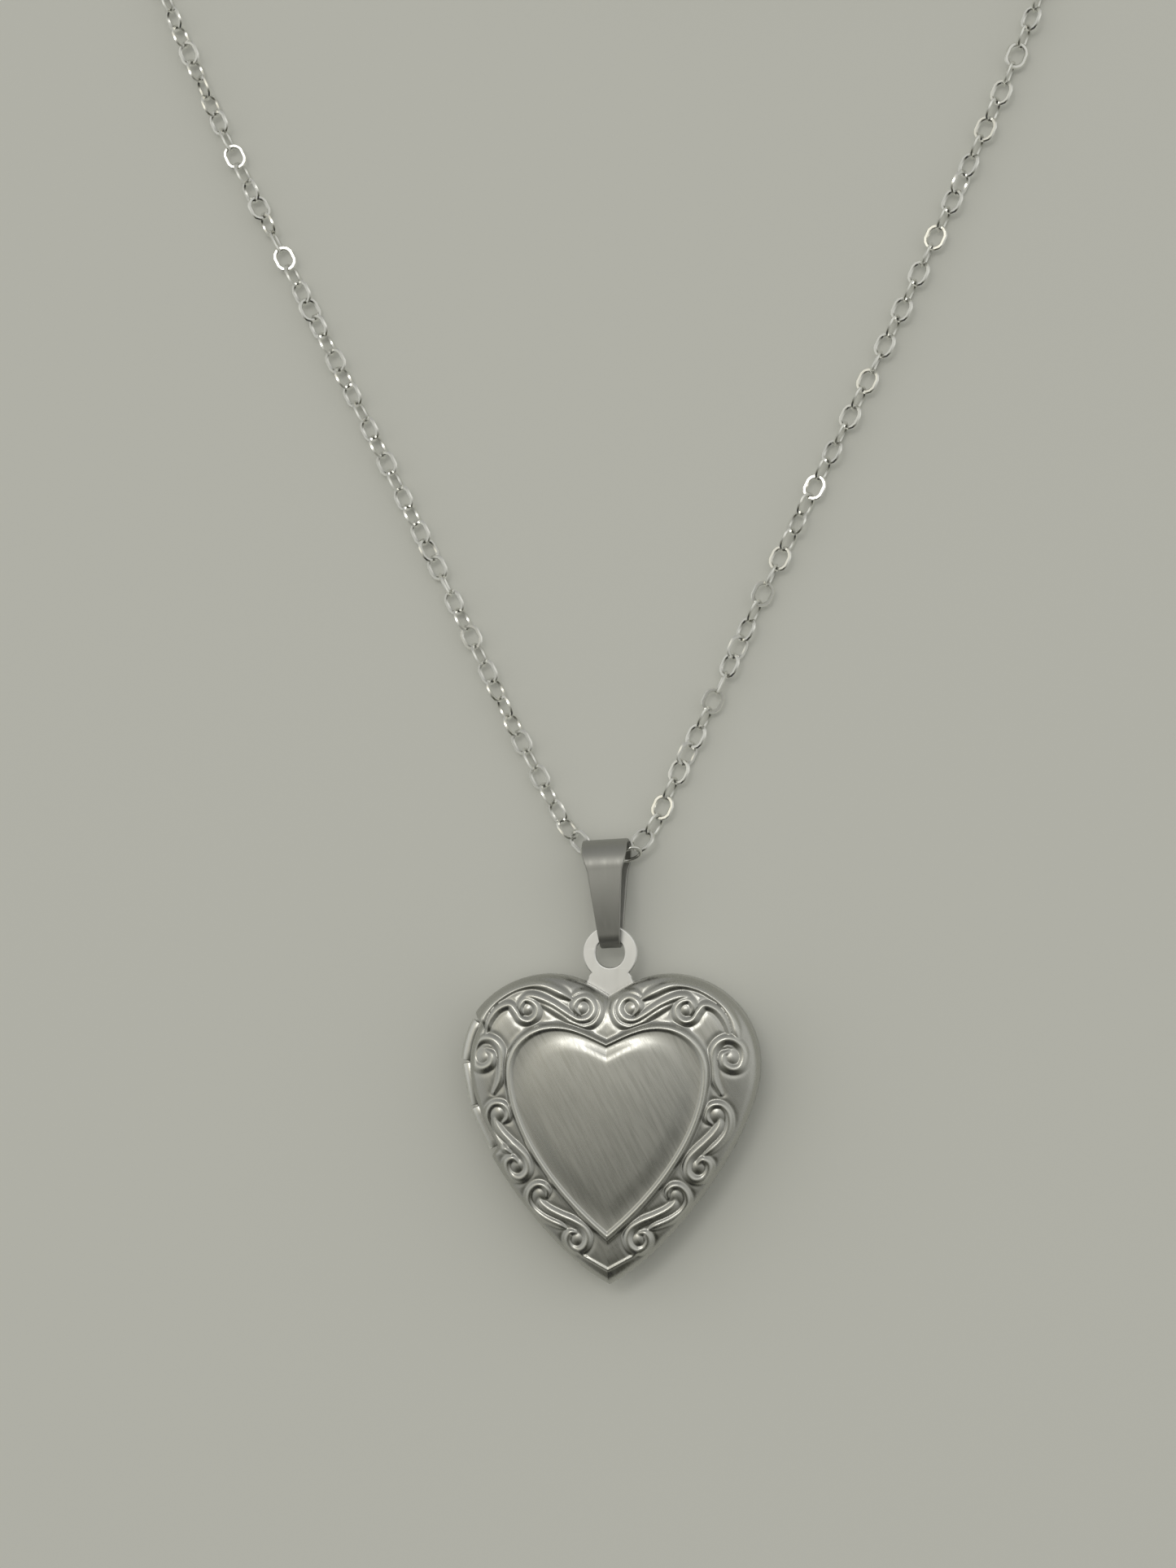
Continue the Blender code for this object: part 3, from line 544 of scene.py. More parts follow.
LEFT_END = (26.25, 113.74, 1.25)
RIGHT_END = (34.55, 123.46, 1.25)
left_strand, left_line, left_length = strand(
    "left_strand", list(LEFT_ROUTE) + wound_in(13.66, -90.0, 187.0) + [LEFT_END], -0.50, 3.0
)
right_strand, right_line, right_length = strand(
    "right_strand", list(RIGHT_ROUTE) + wound_in(15.0, -20.0, 367.0) + [RIGHT_END], -0.35, 11.0
)
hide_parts("chain_left", "chain_tail_left", "chain_coil")
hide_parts("chain_right", "chain_tail_right", "chain_coil")


def oval_link(centre, turn, roll, length, width, wire_width, wire_thick, steps=32, sides=12):
    """One link or ring as points and faces: its plane rolled about its own long axis."""
    placed = Matrix.Translation(Vector(centre)) @ Matrix.Rotation(math.radians(turn), 4, "Z")
    placed = placed @ Matrix.Rotation(math.radians(roll), 4, "X")
    bend = (width - wire_width) / 2
    straight = (length - width) / 2
    points = []
    for i in range(steps):
        angle = 2 * math.pi * (i + 0.5) / steps
        out = Vector((math.cos(angle), math.sin(angle), 0.0))
        spine = out * bend + Vector((math.copysign(straight, out.x), 0.0, 0.0))
        for k in range(sides):
            around = 2 * math.pi * k / sides
            rise = Vector((0.0, 0.0, math.sin(around) * wire_thick / 2))
            points.append(placed @ (spine + out * (math.cos(around) * wire_width / 2) + rise) * MM)
    faces = []
    for i in range(steps):
        for k in range(sides):
            a = i * sides + k
            b = i * sides + (k + 1) % sides
            c = (i + 1) % steps * sides + (k + 1) % sides
            d = (i + 1) % steps * sides + k
            faces.append((a, b, c, d))
    return points, faces


def mesh_of(name, points, faces, material):
    mesh = bpy.data.meshes.new(name)
    mesh.from_pydata([tuple(p) for p in points], [], faces)
    mesh.materials.append(material)
    faces_out(mesh)
    return mesh


for number, (centre, turn, roll) in enumerate(
    (((-1.72, 19.40, 2.10), -20.0, 55.0), ((0.0, 18.96, 1.85), 0.0, -35.0),
     ((1.74, 19.40, 2.14), 20.0, 55.0)), start=1
):
    points, faces = oval_link(centre, turn, roll, LINK_LENGTH, LINK_WIDTH, 0.40, 0.34)
    mesh = mesh_of("bail_link", points, faces, CHAIN_STEEL)
    bail_link = link_up(f"link_in_bail_{number}", mesh, "chain")
    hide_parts(f"bail_link_{number}")


# Clasp: a cast trigger clasp with a sprung lever on a riveted pin, and a round jump ring at each
# end. Its edges are tumbled round.
CLASP_STEEL = steel("clasp_steel", (0.64, 0.64, 0.61), (0.32, 0.32, 0.30), 0.14, 0.28,
                    0.0, 2.0, 3.0, 0.15, 0.6, 0.8)
CLASP_TURN = 230.0
CLASP_Z = 1.30
RING_SIZE = 3.0
RING_WIRE = 0.5
MERGE = 0.002 * MM


def recoated(mesh, material):
    mesh.materials.clear()
    mesh.materials.append(material)


def tumbled(node, width, material):
    """A copy of a CAD piece with its edges rounded over."""
    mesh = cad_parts[node].data.copy()
    bm = bmesh.new()
    bm.from_mesh(mesh)
    bmesh.ops.remove_doubles(bm, verts=bm.verts, dist=MERGE)
    bmesh.ops.dissolve_limit(bm, angle_limit=math.radians(2.0), verts=bm.verts, edges=bm.edges)
    bm.to_mesh(mesh)
    bm.free()
    recoated(mesh, material)
    scratch = bpy.data.objects.new(node + "_form", mesh)
    bpy.context.scene.collection.objects.link(scratch)
    bevel = scratch.modifiers.new("tumble", "BEVEL")
    bevel.width = width * MM
    bevel.segments = 3
    bevel.limit_method = "ANGLE"
    bevel.angle_limit = math.radians(30.0)
    return finished(scratch)


for node, width, body in (("clasp_body", 0.09, "chain"), ("clasp_lever", 0.08, "lever")):
    rounded = tumbled(node, width, CLASP_STEEL)
    clasp_part = link_up(node + "_cast", rounded, body, 50.0)
    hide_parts(node)
for node in ("clasp_pin", "clasp_spring"):
    recoated(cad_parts[node].data, CLASP_STEEL)
for node, reach, roll in (("clasp_ring", -4.47, 58.0), ("end_ring", 4.47, -52.0)):
    away = Vector((reach, 0.0, 0.0))
    away.rotate(Matrix.Rotation(math.radians(CLASP_TURN), 3, "Z"))
    centre = Vector((*COIL_CENTRE, CLASP_Z)) + away
    points, faces = oval_link(centre, CLASP_TURN, roll, RING_SIZE, RING_SIZE, RING_WIRE, RING_WIRE,
                              40, 14)
    mesh = mesh_of(node, points, faces, CLASP_STEEL)
    jump_ring = link_up(node + "_round", mesh, "chain")
    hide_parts(node)

# Covers: two pressed steel shells. Each has a rolled edge, scrolls struck into its border, and a
# raised heart in the middle, domed in front and flat at the back. Section points are (distance
# in from the edge, height off the parting plane); past BORDER they run on to the panel's middle.
BORDER = 4.67
PANEL = 9.5
PARTING_Z = 3.5
SHEET = 0.45
HINGE_ENDS_Y = (-8.4, 4.0)
HINGE_RELIEF = 1.0
KNUCKLE_CLEARANCE = 0.82
TAB_ROOM_HALF = 2.38
TAB_ROOM_HEIGHT = 0.93
PANEL_MIDDLE = np.array((0.0, -4.5))
HEART_EDGE = (
    ((0.0, 6.10), (1.6, 7.1), (3.2, 8.17), (5.75, 8.17)),
    ((5.75, 8.17), (9.53, 8.17), (14.18, 5.18), (14.18, -0.4)),
    ((14.18, -0.4), (14.18, -6.62), (5.65, -18.15), (0.0, -20.84)),
)
INNER_HEART = (
    ((0.0, 1.87), (1.5, 2.55), (3.1, 3.5), (5.0, 3.5)),
    ((5.0, 3.5), (7.5, 3.5), (9.5, 1.7), (9.5, -0.8)),
    ((9.5, -0.8), (9.5, -6.6), (4.79, -12.6), (0.0, -16.6)),
)
MIDDLE = 13.9
DOME_STARTS = 5.42
DOME_FOOT = 3.11
DOME_TOP = 3.48
DOME_RAMP = 1.9
BORDER_SECTION = ((0.0, 1.0), (0.06, 1.35), (0.26, 1.74), (0.58, 2.06), (0.95, 2.28),
                  (1.7, 2.50), (2.6, 2.63), (3.6, 2.70), (4.25, 2.73))
DOMED_SECTION = BORDER_SECTION + (
    (4.46, 2.80), (4.62, 2.98), (4.80, 3.18), (4.98, 3.25), (5.14, 3.22), (5.27, 3.14),
    (DOME_STARTS, DOME_FOOT), (5.8, 3.12), (6.57, 3.16), (8.47, 3.28), (10.85, 3.42),
    (13.03, DOME_TOP), (MIDDLE, DOME_TOP))
FLAT_SECTION = BORDER_SECTION + (
    (4.52, 2.92), (4.72, 3.26), (4.90, 3.44), (5.10, 3.5), (8.0, 3.5), (MIDDLE, 3.5))
INSIDE_SECTION = ((0.45, 1.0), (0.52, 1.3), (0.75, 1.55), (1.3, 1.86), (2.7, 2.22), (4.76, 2.45),
                  (MIDDLE, 2.45))

# The scrolls of the right half: each a soft rib along a line, as (half width, height, points).
# A rib thins away at its ends.
SCROLLS = (
    (0.60, 0.34, ((12.35, 1.9), (12.15, 2.9), (11.85, 3.95), (11.2, 5.17), (10.29, 6.09),
                  (8.92, 6.94), (7.39, 7.32), (5.86, 7.17), (4.31, 6.48), (3.31, 5.86))),
    (0.44, 0.24, ((3.2, 6.2), (2.62, 6.55), (1.86, 6.63), (1.08, 6.17), (0.61, 5.33),
                  (0.68, 4.41), (1.21, 3.64), (2.2, 3.33), (3.28, 3.72), (4.29, 4.41),
                  (5.45, 5.1), (6.61, 5.63))),
    (0.54, 0.32, ((8.14, 5.79), (7.37, 6.17), (6.45, 6.02), (5.07, 5.4), (3.52, 4.41),
                  (2.59, 3.95), (1.68, 4.1), (1.15, 4.87), (1.39, 5.71), (2.08, 6.09),
                  (2.77, 5.79), (3.07, 5.1), (2.6, 4.48))),
    (0.50, 0.31, ((11.5, 2.5), (11.05, 3.95), (10.28, 4.94), (9.21, 5.33), (8.59, 4.71),
                  (8.12, 4.02), (7.35, 3.79), (6.67, 4.25), (6.52, 5.02), (6.98, 5.63),
                  (7.75, 5.79), (8.14, 5.17), (7.9, 4.56))),
    (0.56, 0.33, ((10.68, -2.88), (10.05, -1.58), (9.9, -0.2), (10.0, 1.18), (10.7, 2.03),
                  (11.7, 2.18), (12.6, 1.57), (12.85, 0.57), (12.5, -0.35), (11.73, -0.58),
                  (10.95, -0.12), (10.87, 0.65), (11.33, 1.03))),
    (0.54, 0.32, ((10.5, -4.9), (10.55, -5.7), (10.1, -6.49), (9.27, -7.34), (8.5, -8.03),
                  (7.75, -8.79), (7.45, -9.56), (7.53, -10.33), (8.15, -10.87),
                  (8.92, -10.79), (9.45, -10.18), (9.52, -9.41), (8.98, -9.02), (8.44, -9.41))),
    (0.48, 0.30, ((9.1, -8.56), (9.8, -8.03), (10.6, -7.3), (11.2, -6.49), (11.45, -5.57),
                  (11.3, -4.6), (10.7, -3.95), (9.9, -3.95), (9.35, -4.5), (9.35, -5.2),
                  (9.8, -5.65))),
    (0.54, 0.32, ((6.35, -12.5), (6.3, -13.1), (5.6, -13.72), (4.35, -14.32), (3.21, -14.78),
                  (2.22, -15.39), (1.84, -16.24), (2.07, -17.08), (2.7, -17.54),
                  (3.46, -17.31), (3.84, -16.62), (3.6, -15.93), (3.06, -15.85))),
    (0.48, 0.30, ((3.98, -15.47), (4.59, -15.16), (5.89, -14.63), (7.04, -13.86), (7.5, -13.0),
                  (7.35, -12.1), (6.75, -11.5), (6.1, -11.5), (5.65, -11.95), (5.7, -12.55))),
)
# Round bosses: the eyes of the curls and the seed heads, as (radius, height, centre).
BOSSES = (
    (0.75, 0.15, (2.40, 5.10)), (0.70, 0.14, (7.45, 4.98)), (0.85, 0.16, (11.72, 0.42)),
    (0.95, 0.20, (10.35, -4.8)), (0.75, 0.15, (8.60, -9.75)), (0.92, 0.19, (6.5, -12.35)),
    (0.75, 0.15, (3.00, -16.6)),
)


def heart_points(stretches, steps):
    """Points down the right half of a heart from its notch, then back up the left half."""
    right = []
    for handles, count in zip(stretches, steps):
        a, b, c, d = (np.array(p) for p in handles)
        t = (np.arange(count) / count)[:, None]
        s = 1.0 - t
        right.append(a * s ** 3 + 3 * b * s * s * t + 3 * c * s * t * t + d * t ** 3)
    right = np.vstack(right + [np.array(stretches[-1][-1])[None]])
    left = right[1:-1][::-1] * (-1.0, 1.0)
    return np.vstack([right, left])


def smooth_line(points, per_piece):
    """A Catmull-Rom curve through 2D points."""
    knots = np.array(points, dtype=float)
    knots = np.vstack([2 * knots[0] - knots[1], knots, 2 * knots[-1] - knots[-2]])
    t = (np.arange(per_piece) / per_piece)[:, None]
    pieces = []
    for i in range(1, len(knots) - 2):
        a, b, c, d = knots[i - 1:i + 3]
        pieces.append(0.5 * (2 * b + (c - a) * t + (2 * a - 5 * b + 4 * c - d) * t ** 2
                             + (3 * b - a - 3 * c + d) * t ** 3))
    return np.vstack(pieces + [knots[-2][None]])


def even_section(knots, spans):
    """Points along a section that bends smoothly through its knots, spaced evenly in each span.

    A span is (where it ends, in distance from the edge, and how many points it has).
    """
    line = smooth_line(knots, 16)
    marks = np.concatenate([[0.0], np.cumsum(np.hypot(*np.diff(line, axis=0).T))])
    wanted = [0.0]
    start = 0.0
    for end, count in spans:
        stop = marks[-1] if end is None else marks[np.abs(line[:, 0] - end).argmin()]
        wanted.extend(start + (stop - start) * k / count for k in range(1, count + 1))
        start = stop
    return np.stack([np.interp(wanted, marks, line[:, k]) for k in (0, 1)], axis=1)


def hinge_share(points):
    """One beside the hinge on the left edge, and nought elsewhere."""
    low, high = HINGE_ENDS_Y
    inside = np.minimum(high - points[:, 1], points[:, 1] - low) + 0.3
    share = np.clip(inside / 0.7 + 0.5, 0.0, 1.0)
    return np.where(points[:, 0] < 0, share * share * (3 - 2 * share), 0.0)


RIB_CROWN = 0.86
RIB_ROUND = 1.6
RIB_END = 0.45
BOSS_ROUND = 1.2
GROOVE = 0.05
GROOVE_WIDTH = 0.25
RIB_REACH = 1.5


def struck_scrolls(x, y):
    """How far the border stands up at each point: soft ribs and bosses, with a low groove beside."""
    across = np.abs(x)
    raised = np.zeros_like(x)
    nearest = np.full_like(x, 9.0)
    for half, height, points in SCROLLS:
        line = smooth_line(points, 20)
        along = np.linspace(0.0, 1.0, len(line))
        taper = np.clip(np.minimum(along, 1 - along) * 7.0, 0.0, 1.0)
        taper = RIB_END + (1 - RIB_END) * np.sin(taper * math.pi / 2)
        low = line.min(axis=0) - RIB_REACH
        high = line.max(axis=0) + RIB_REACH
        near = np.nonzero((across > low[0]) & (across < high[0]) & (y > low[1]) & (y < high[1]))[0]
        if not len(near):
            continue
        gap = np.hypot(across[near, None] - line[None, :, 0], y[near, None] - line[None, :, 1])
        best = gap.argmin(axis=1)
        thin = taper[best]
        away = gap[np.arange(len(near)), best]
        offset = np.clip(away / (half * thin), 0.0, 1.0)
        rib = RIB_CROWN * height * thin * (1 - offset ** 2) ** RIB_ROUND
        raised[near] = np.maximum(raised[near], rib)
        nearest[near] = np.minimum(nearest[near], (offset - 1.0) * half
                                   + np.clip(away - half * thin, 0, None))
    for radius, height, centre in BOSSES:
        gap = np.hypot(across - centre[0], y - centre[1])
        dome = height * (1 - np.clip(gap / radius, 0.0, 1.0) ** 2) ** BOSS_ROUND
        raised = np.maximum(raised, dome)
        nearest = np.minimum(nearest, gap - radius)
    groove = GROOVE * np.exp(-(np.clip(nearest, 0.0, None) / GROOVE_WIDTH) ** 2)
    return np.where(nearest < 0, raised - GROOVE, -groove)


def point_crease(x, y):
    """The fold down the middle of the border, under the point of the inner heart."""
    line = np.abs(np.abs(x) * 0.55 + (-19.35 - y)) * 0.87
    inside = np.clip((2.9 - np.abs(x)) / 0.5, 0.0, 1.0)
    return 0.14 * np.exp(-(line / 0.16) ** 2) * inside * (y > -19.6)


HEART_STEPS = (70, 130, 210)
EDGE_LINE = heart_points(HEART_EDGE, HEART_STEPS)
INNER_LINE = heart_points(INNER_HEART, HEART_STEPS)
RELIEF_LINE = hinge_share(EDGE_LINE)


def heart_row(distance, relieved=True):
    """The heart drawn a distance in from its edge; past the border it shrinks to the middle."""
    if distance >= BORDER:
        scale = 1.0 - (distance - BORDER) / PANEL
        return PANEL_MIDDLE + (INNER_LINE - PANEL_MIDDLE) * scale
    run = INNER_LINE - EDGE_LINE
    share = distance / BORDER
    if relieved:
        relief = RELIEF_LINE[:, None] * HINGE_RELIEF / np.hypot(*run.T)[:, None]
        share = relief + share * (1 - relief)
    return EDGE_LINE + run * share


def skin_rows(name, rows, material, middle_closed=True, loop=False):
    """A closed skin over rows that all run round the heart with the same number of points."""
    count = len(rows[0])
    points = np.vstack(rows) * MM
    faces = []
    last = len(rows) if loop else len(rows) - 1
    for r in range(last):
        low = r * count
        high = (r + 1) % len(rows) * count
        for i in range(count):
            j = (i + 1) % count
            faces.append((low + i, low + j, high + j, high + i))
    points = [tuple(p) for p in points]
    if middle_closed:
        for row in (0, len(rows) - 1):
            centre = len(points)
            points.append(tuple(rows[row].mean(axis=0) * MM))
            for i in range(count):
                faces.append((row * count + i, row * count + (i + 1) % count, centre))
    mesh = bpy.data.meshes.new(name)
    mesh.from_pydata(points, [], faces)
    mesh.materials.append(material)
    faces_out(mesh)
    return mesh


COVER_SPANS = ((4.42, 52), (5.45, 14), (None, 16))
DOME_FALL_X = 0.36
DOME_HALF_X = 8.5
DOME_FALL_Y = 0.27
DOME_HALF_Y = 9.0
DOME_PEAK_Y = -4.6


def smooth_dome(flat, distance):
    """Height of the domed panel: a plain oval dome, eased down to the foot of the ridge."""
    dome = DOME_TOP - DOME_FALL_X * (flat[:, 0] / DOME_HALF_X) ** 2
    dome = dome - DOME_FALL_Y * ((flat[:, 1] - DOME_PEAK_Y) / DOME_HALF_Y) ** 2
    share = min(1.0, (distance - DOME_STARTS) / DOME_RAMP)
    return DOME_FOOT + (dome - DOME_FOOT) * (share * share * (3 - 2 * share))


SHUT_GAP = 0.05
STRUCK_FROM = 0.35
STRUCK_TO = 4.50
RIDGE = (4.75, 5.2)
PLAIN_CREST = 0.5
RIDGE_CREST = 0.9


def cover_mesh(name, side, section, tab_room, material):
    """One shell, and beside it how rubbed each point of its skin is, as the crest attribute."""
    rim = SHUT_GAP + (KNUCKLE_CLEARANCE - SHUT_GAP) * RELIEF_LINE
    if tab_room:
        rim = np.where(np.abs(EDGE_LINE[:, 0]) * (EDGE_LINE[:, 1] > 0) < TAB_ROOM_HALF,
                       np.where(EDGE_LINE[:, 1] > 0, TAB_ROOM_HEIGHT, rim), rim)
    rows = []
    crests = []
    for distance, height in even_section(section, COVER_SPANS)[::-1]:
        flat = heart_row(distance)
        lift = np.full(len(flat), height)
        if section is DOMED_SECTION and distance > DOME_STARTS:
            lift = smooth_dome(flat, distance)
        if STRUCK_FROM < distance < BORDER:
            fade = np.clip((distance - STRUCK_FROM) / 0.5, 0.0, 1.0)
            fade = fade * np.clip((STRUCK_TO - distance) / 0.25, 0.0, 1.0)
            struck = struck_scrolls(*flat.T) + point_crease(*flat.T)
            lift = lift + fade * struck
            rubbed = np.clip(0.35 + struck * 2.2, 0.0, 1.0)
            crests.append(rubbed * fade + PLAIN_CREST * (1 - fade))
        else:
            on_ridge = RIDGE[0] < distance < RIDGE[1]
            crests.append(np.full(len(flat), RIDGE_CREST if on_ridge else PLAIN_CREST))
        rows.append(np.column_stack([flat, PARTING_Z + side * lift]))
    for inset in (0.0, SHEET):
        flat = heart_row(inset)
        for share in ((0.66, 0.33, 0.0) if inset == 0.0 else (0.0, 0.5)):
            rows.append(np.column_stack([flat, PARTING_Z + side * (rim + (1.0 - rim) * share)]))
    for distance, height in even_section(INSIDE_SECTION, ((None, 11),)):
        flat = heart_row(distance)
        rows.append(np.column_stack([flat, np.full(len(flat), PARTING_Z + side * height)]))
    mesh = skin_rows(name, rows, material)
    worn = mesh.attributes.new("crest", "FLOAT", "POINT")
    values = np.full(len(mesh.vertices), PLAIN_CREST, dtype=np.float32)
    flattened = np.concatenate(crests)
    values[:len(flattened)] = flattened
    worn.data.foreach_set("value", values)
    return mesh


COVER_STEEL = steel("cover_steel", (0.56, 0.56, 0.53), (0.25, 0.25, 0.24), 0.20, 0.36,
                    -28.0, 3.2, 16.0, 0.22, 0.9, 0.9, "crest")
front_shell = link_up("front_cover_pressed",
                      cover_mesh("front", 1, DOMED_SECTION, False, COVER_STEEL),
                      "front_half", 60.0)
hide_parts("front_cover")
rear_shell = link_up("rear_cover_pressed",
                     cover_mesh("rear", -1, FLAT_SECTION, True, COVER_STEEL),
                     "rear_half", 60.0)
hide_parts("rear_cover")


# Photo frames: a flat ring of sheet inside each cover. The rear one carries the tab, an eye on a
# short neck that comes out at the notch of the heart, and its edges are tumbled.
FRAME_STEEL = steel("frame_steel", (0.58, 0.58, 0.56), (0.30, 0.30, 0.29), 0.24, 0.36,
                    62.0, 3.0, 18.0, 0.25, 0.6, 0.8)
# The tab's colour is painted near white, for a brightness the room's light alone does not give its
# flat face.
TAB_STEEL = steel("tab_steel", (0.95, 0.95, 0.94), (0.62, 0.62, 0.61), 0.28, 0.38,
                  10.0, 2.0, 10.0, 0.10, 0.5, 0.8)

FRAME_SECTION = ((MIDDLE, 1.08), (0.56, 1.08), (0.52, 1.04), (0.52, 0.12), (0.58, 0.08),
                 (2.94, 0.08), (3.0, 0.14), (3.0, 0.83), (MIDDLE, 0.83))
WELL_STARTS = 2.9
for face, side, body in (("front", 1, "front_half"), ("rear", -1, "rear_half")):
    rows = []
    for distance, height in FRAME_SECTION:
        by_edge = distance < WELL_STARTS
        flat = heart_row(distance, by_edge)
        if by_edge:
            flat = flat + (INNER_LINE - EDGE_LINE) * (RELIEF_LINE * 0.035)[:, None]
        rows.append(np.column_stack([flat, np.full(len(flat), PARTING_Z + side * height)]))
    plate = link_up(face + "_frame_plate", skin_rows("plate", rows, FRAME_STEEL), body)
    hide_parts(face + "_frame")

EYE_Y = 10.09
EYE_RADIUS = 2.57
HOLE_RADIUS = 1.38
TAB_HALF = 0.27
TAB_ROUND = 0.12
TAB_Z = 3.02
EYE_START = math.asin(-0.72)
eye = []
for i in range(73):
    turn = EYE_START + (math.pi - 2 * EYE_START) * i / 72
    eye.append((EYE_RADIUS * math.cos(turn), EYE_Y + EYE_RADIUS * math.sin(turn)))
left_waist = [(-2.01, 7.95), (-2.04, 7.75), (-2.14, 7.52), (-2.27, 7.40), (-2.28, 5.3)]
tab_outline = eye + left_waist + [(-x, y) for x, y in reversed(left_waist)]
tab_hole = []
for i in range(64):
    turn = 2 * math.pi * i / 64
    tab_hole.append((HOLE_RADIUS * math.cos(turn), EYE_Y + HOLE_RADIUS * math.sin(turn)))
tab_curve = bpy.data.curves.new("tab_form", "CURVE")
tab_curve.dimensions = "2D"
tab_curve.fill_mode = "BOTH"
for outline in (tab_outline, tab_hole):
    spline = tab_curve.splines.new("POLY")
    spline.points.add(len(outline) - 1)
    spline.use_cyclic_u = True
    for knot, (x, y) in zip(spline.points, outline):
        knot.co = (x, y, 0.0, 1.0)
tab_curve.extrude = TAB_HALF
tab_curve.bevel_depth = TAB_ROUND
tab_curve.bevel_resolution = 3
tab_curve.offset = -TAB_ROUND
tab_form = bpy.data.objects.new("tab_form", tab_curve)
bpy.context.scene.collection.objects.link(tab_form)
tab_mesh = finished(tab_form)
tab_mesh.transform(Matrix.Scale(MM, 4) @ Matrix.Translation((0.0, 0.0, TAB_Z)))
bm = bmesh.new()
bm.from_mesh(tab_mesh)
bmesh.ops.remove_doubles(bm, verts=bm.verts, dist=MERGE)
bm.to_mesh(tab_mesh)
bm.free()
recoated(tab_mesh, TAB_STEEL)
faces_out(tab_mesh)
tab = link_up("hanging_tab", tab_mesh, "rear_half", 40.0)
for polygon in tab.data.polygons:
    polygon.use_smooth = abs(polygon.normal.z) < 0.999
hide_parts("rear_frame")


# Pictures: in each frame a sprung steel rim presses a clear film over a blank card.
def sheet_rows(section, side):
    rows = []
    for distance, height in section:
        flat = heart_row(distance, False)
        rows.append(np.column_stack([flat, np.full(len(flat), PARTING_Z + side * height)]))
    return rows


def card_material():
    material = bpy.data.materials.new("picture_card")
    material.use_nodes = True
    nodes = material.node_tree.nodes
    links = material.node_tree.links
    shader = nodes["Principled BSDF"]
    strokes = nodes.new("ShaderNodeGroup")
    strokes.node_tree = STROKES
    strokes.inputs["Strokes per mm"].default_value = 5.0
    strokes.inputs["Stroke Stretch"].default_value = 3.0
    strokes.inputs["Blotches per mm"].default_value = 0.12
    tone = nodes.new("ShaderNodeMix")
    tone.data_type = "RGBA"
    tone.inputs["A"].default_value = (0.80, 0.77, 0.69, 1.0)
    tone.inputs["B"].default_value = (0.68, 0.63, 0.53, 1.0)
    links.new(strokes.outputs["Blotches"], tone.inputs["Factor"])
    links.new(tone.outputs["Result"], shader.inputs["Base Color"])
    shader.inputs["Roughness"].default_value = 0.8
    tooth = nodes.new("ShaderNodeBump")
    tooth.inputs["Strength"].default_value = 0.3
    tooth.inputs["Distance"].default_value = 0.01 * MM
    links.new(strokes.outputs["Strokes"], tooth.inputs["Height"])
    links.new(tooth.outputs["Normal"], shader.inputs["Normal"])
    return material


def film_material():
    material = bpy.data.materials.new("clear_film")
    material.use_nodes = True
    shader = material.node_tree.nodes["Principled BSDF"]
    shader.inputs["Base Color"].default_value = (0.95, 0.97, 0.98, 1.0)
    shader.inputs["Roughness"].default_value = 0.06
    shader.inputs["IOR"].default_value = 1.45
    shader.inputs["Transmission Weight"].default_value = 1.0
    return material


CARD = card_material()
FILM = film_material()
RIM_SECTION = ((3.06, 0.17), (3.11, 0.12), (3.40, 0.12), (3.71, 0.20), (3.76, 0.26),
               (3.76, 0.38), (3.40, 0.38), (3.06, 0.38))
FILM_SECTION = ((MIDDLE, 0.55), (3.06, 0.55), (3.06, 0.43), (MIDDLE, 0.43))
CARD_SECTION = ((MIDDLE, 0.78), (3.06, 0.78), (3.06, 0.60), (MIDDLE, 0.60))
for face, side, body in (("front", 1, "front_half"), ("rear", -1, "rear_half")):
    rim_mesh = skin_rows("rim", sheet_rows(RIM_SECTION, side), FRAME_STEEL, False, True)
    rim = link_up(face + "_picture_rim", rim_mesh, body)
    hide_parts(face + "_photo_rim")
    film = link_up(face + "_clear_film", skin_rows("film", sheet_rows(FILM_SECTION, side), FILM),
                   body)
    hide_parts(face + "_film")
    card = link_up(face + "_picture_card", skin_rows("card", sheet_rows(CARD_SECTION, side), CARD),
                   body)
    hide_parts(face + "_photo")


# Hinge: three barrels rolled from the frames' edges, the middle one on the front half, and the
# pin through them. The outer barrels bend with the side of the heart.
HINGE_STEEL = steel("hinge_steel", (0.82, 0.82, 0.79), (0.34, 0.34, 0.32), 0.20, 0.34,
                    8.0, 3.0, 16.0, 0.20, 0.5, 1.8)
KNUCKLE = 0.75
KNUCKLE_SIDES = 24
END_ROUND = 0.12


def barrel_mesh(route, radius, material):
    """A round bar along a route, its ends eased over."""
    line = [Vector(p) for p in route]
    first = (line[1] - line[0]).normalized()
    last = (line[-1] - line[-2]).normalized()
    stations = [(line[0], radius - END_ROUND), (line[0] + first * 0.04, radius - 0.03),
                (line[0] + first * END_ROUND, radius)]
    stations += [(p, radius) for p in line[1:-1]]
    stations += [(line[-1] - last * END_ROUND, radius), (line[-1] - last * 0.04, radius - 0.03),
                 (line[-1], radius - END_ROUND)]
    rows = []
    for i, (place, size) in enumerate(stations):
        before = stations[max(i - 1, 0)][0]
        after = stations[min(i + 1, len(stations) - 1)][0]
        along = (after - before).normalized()
        across = along.cross(Vector((0.0, 0.0, 1.0))).normalized()
        row = []
        for k in range(KNUCKLE_SIDES):
            turn = 2 * math.pi * k / KNUCKLE_SIDES
            row.append(place + across * (math.cos(turn) * size)
                       + Vector((0.0, 0.0, math.sin(turn) * size)))
        rows.append(np.array([tuple(p) for p in row]))
    return skin_rows("barrel", rows, material)


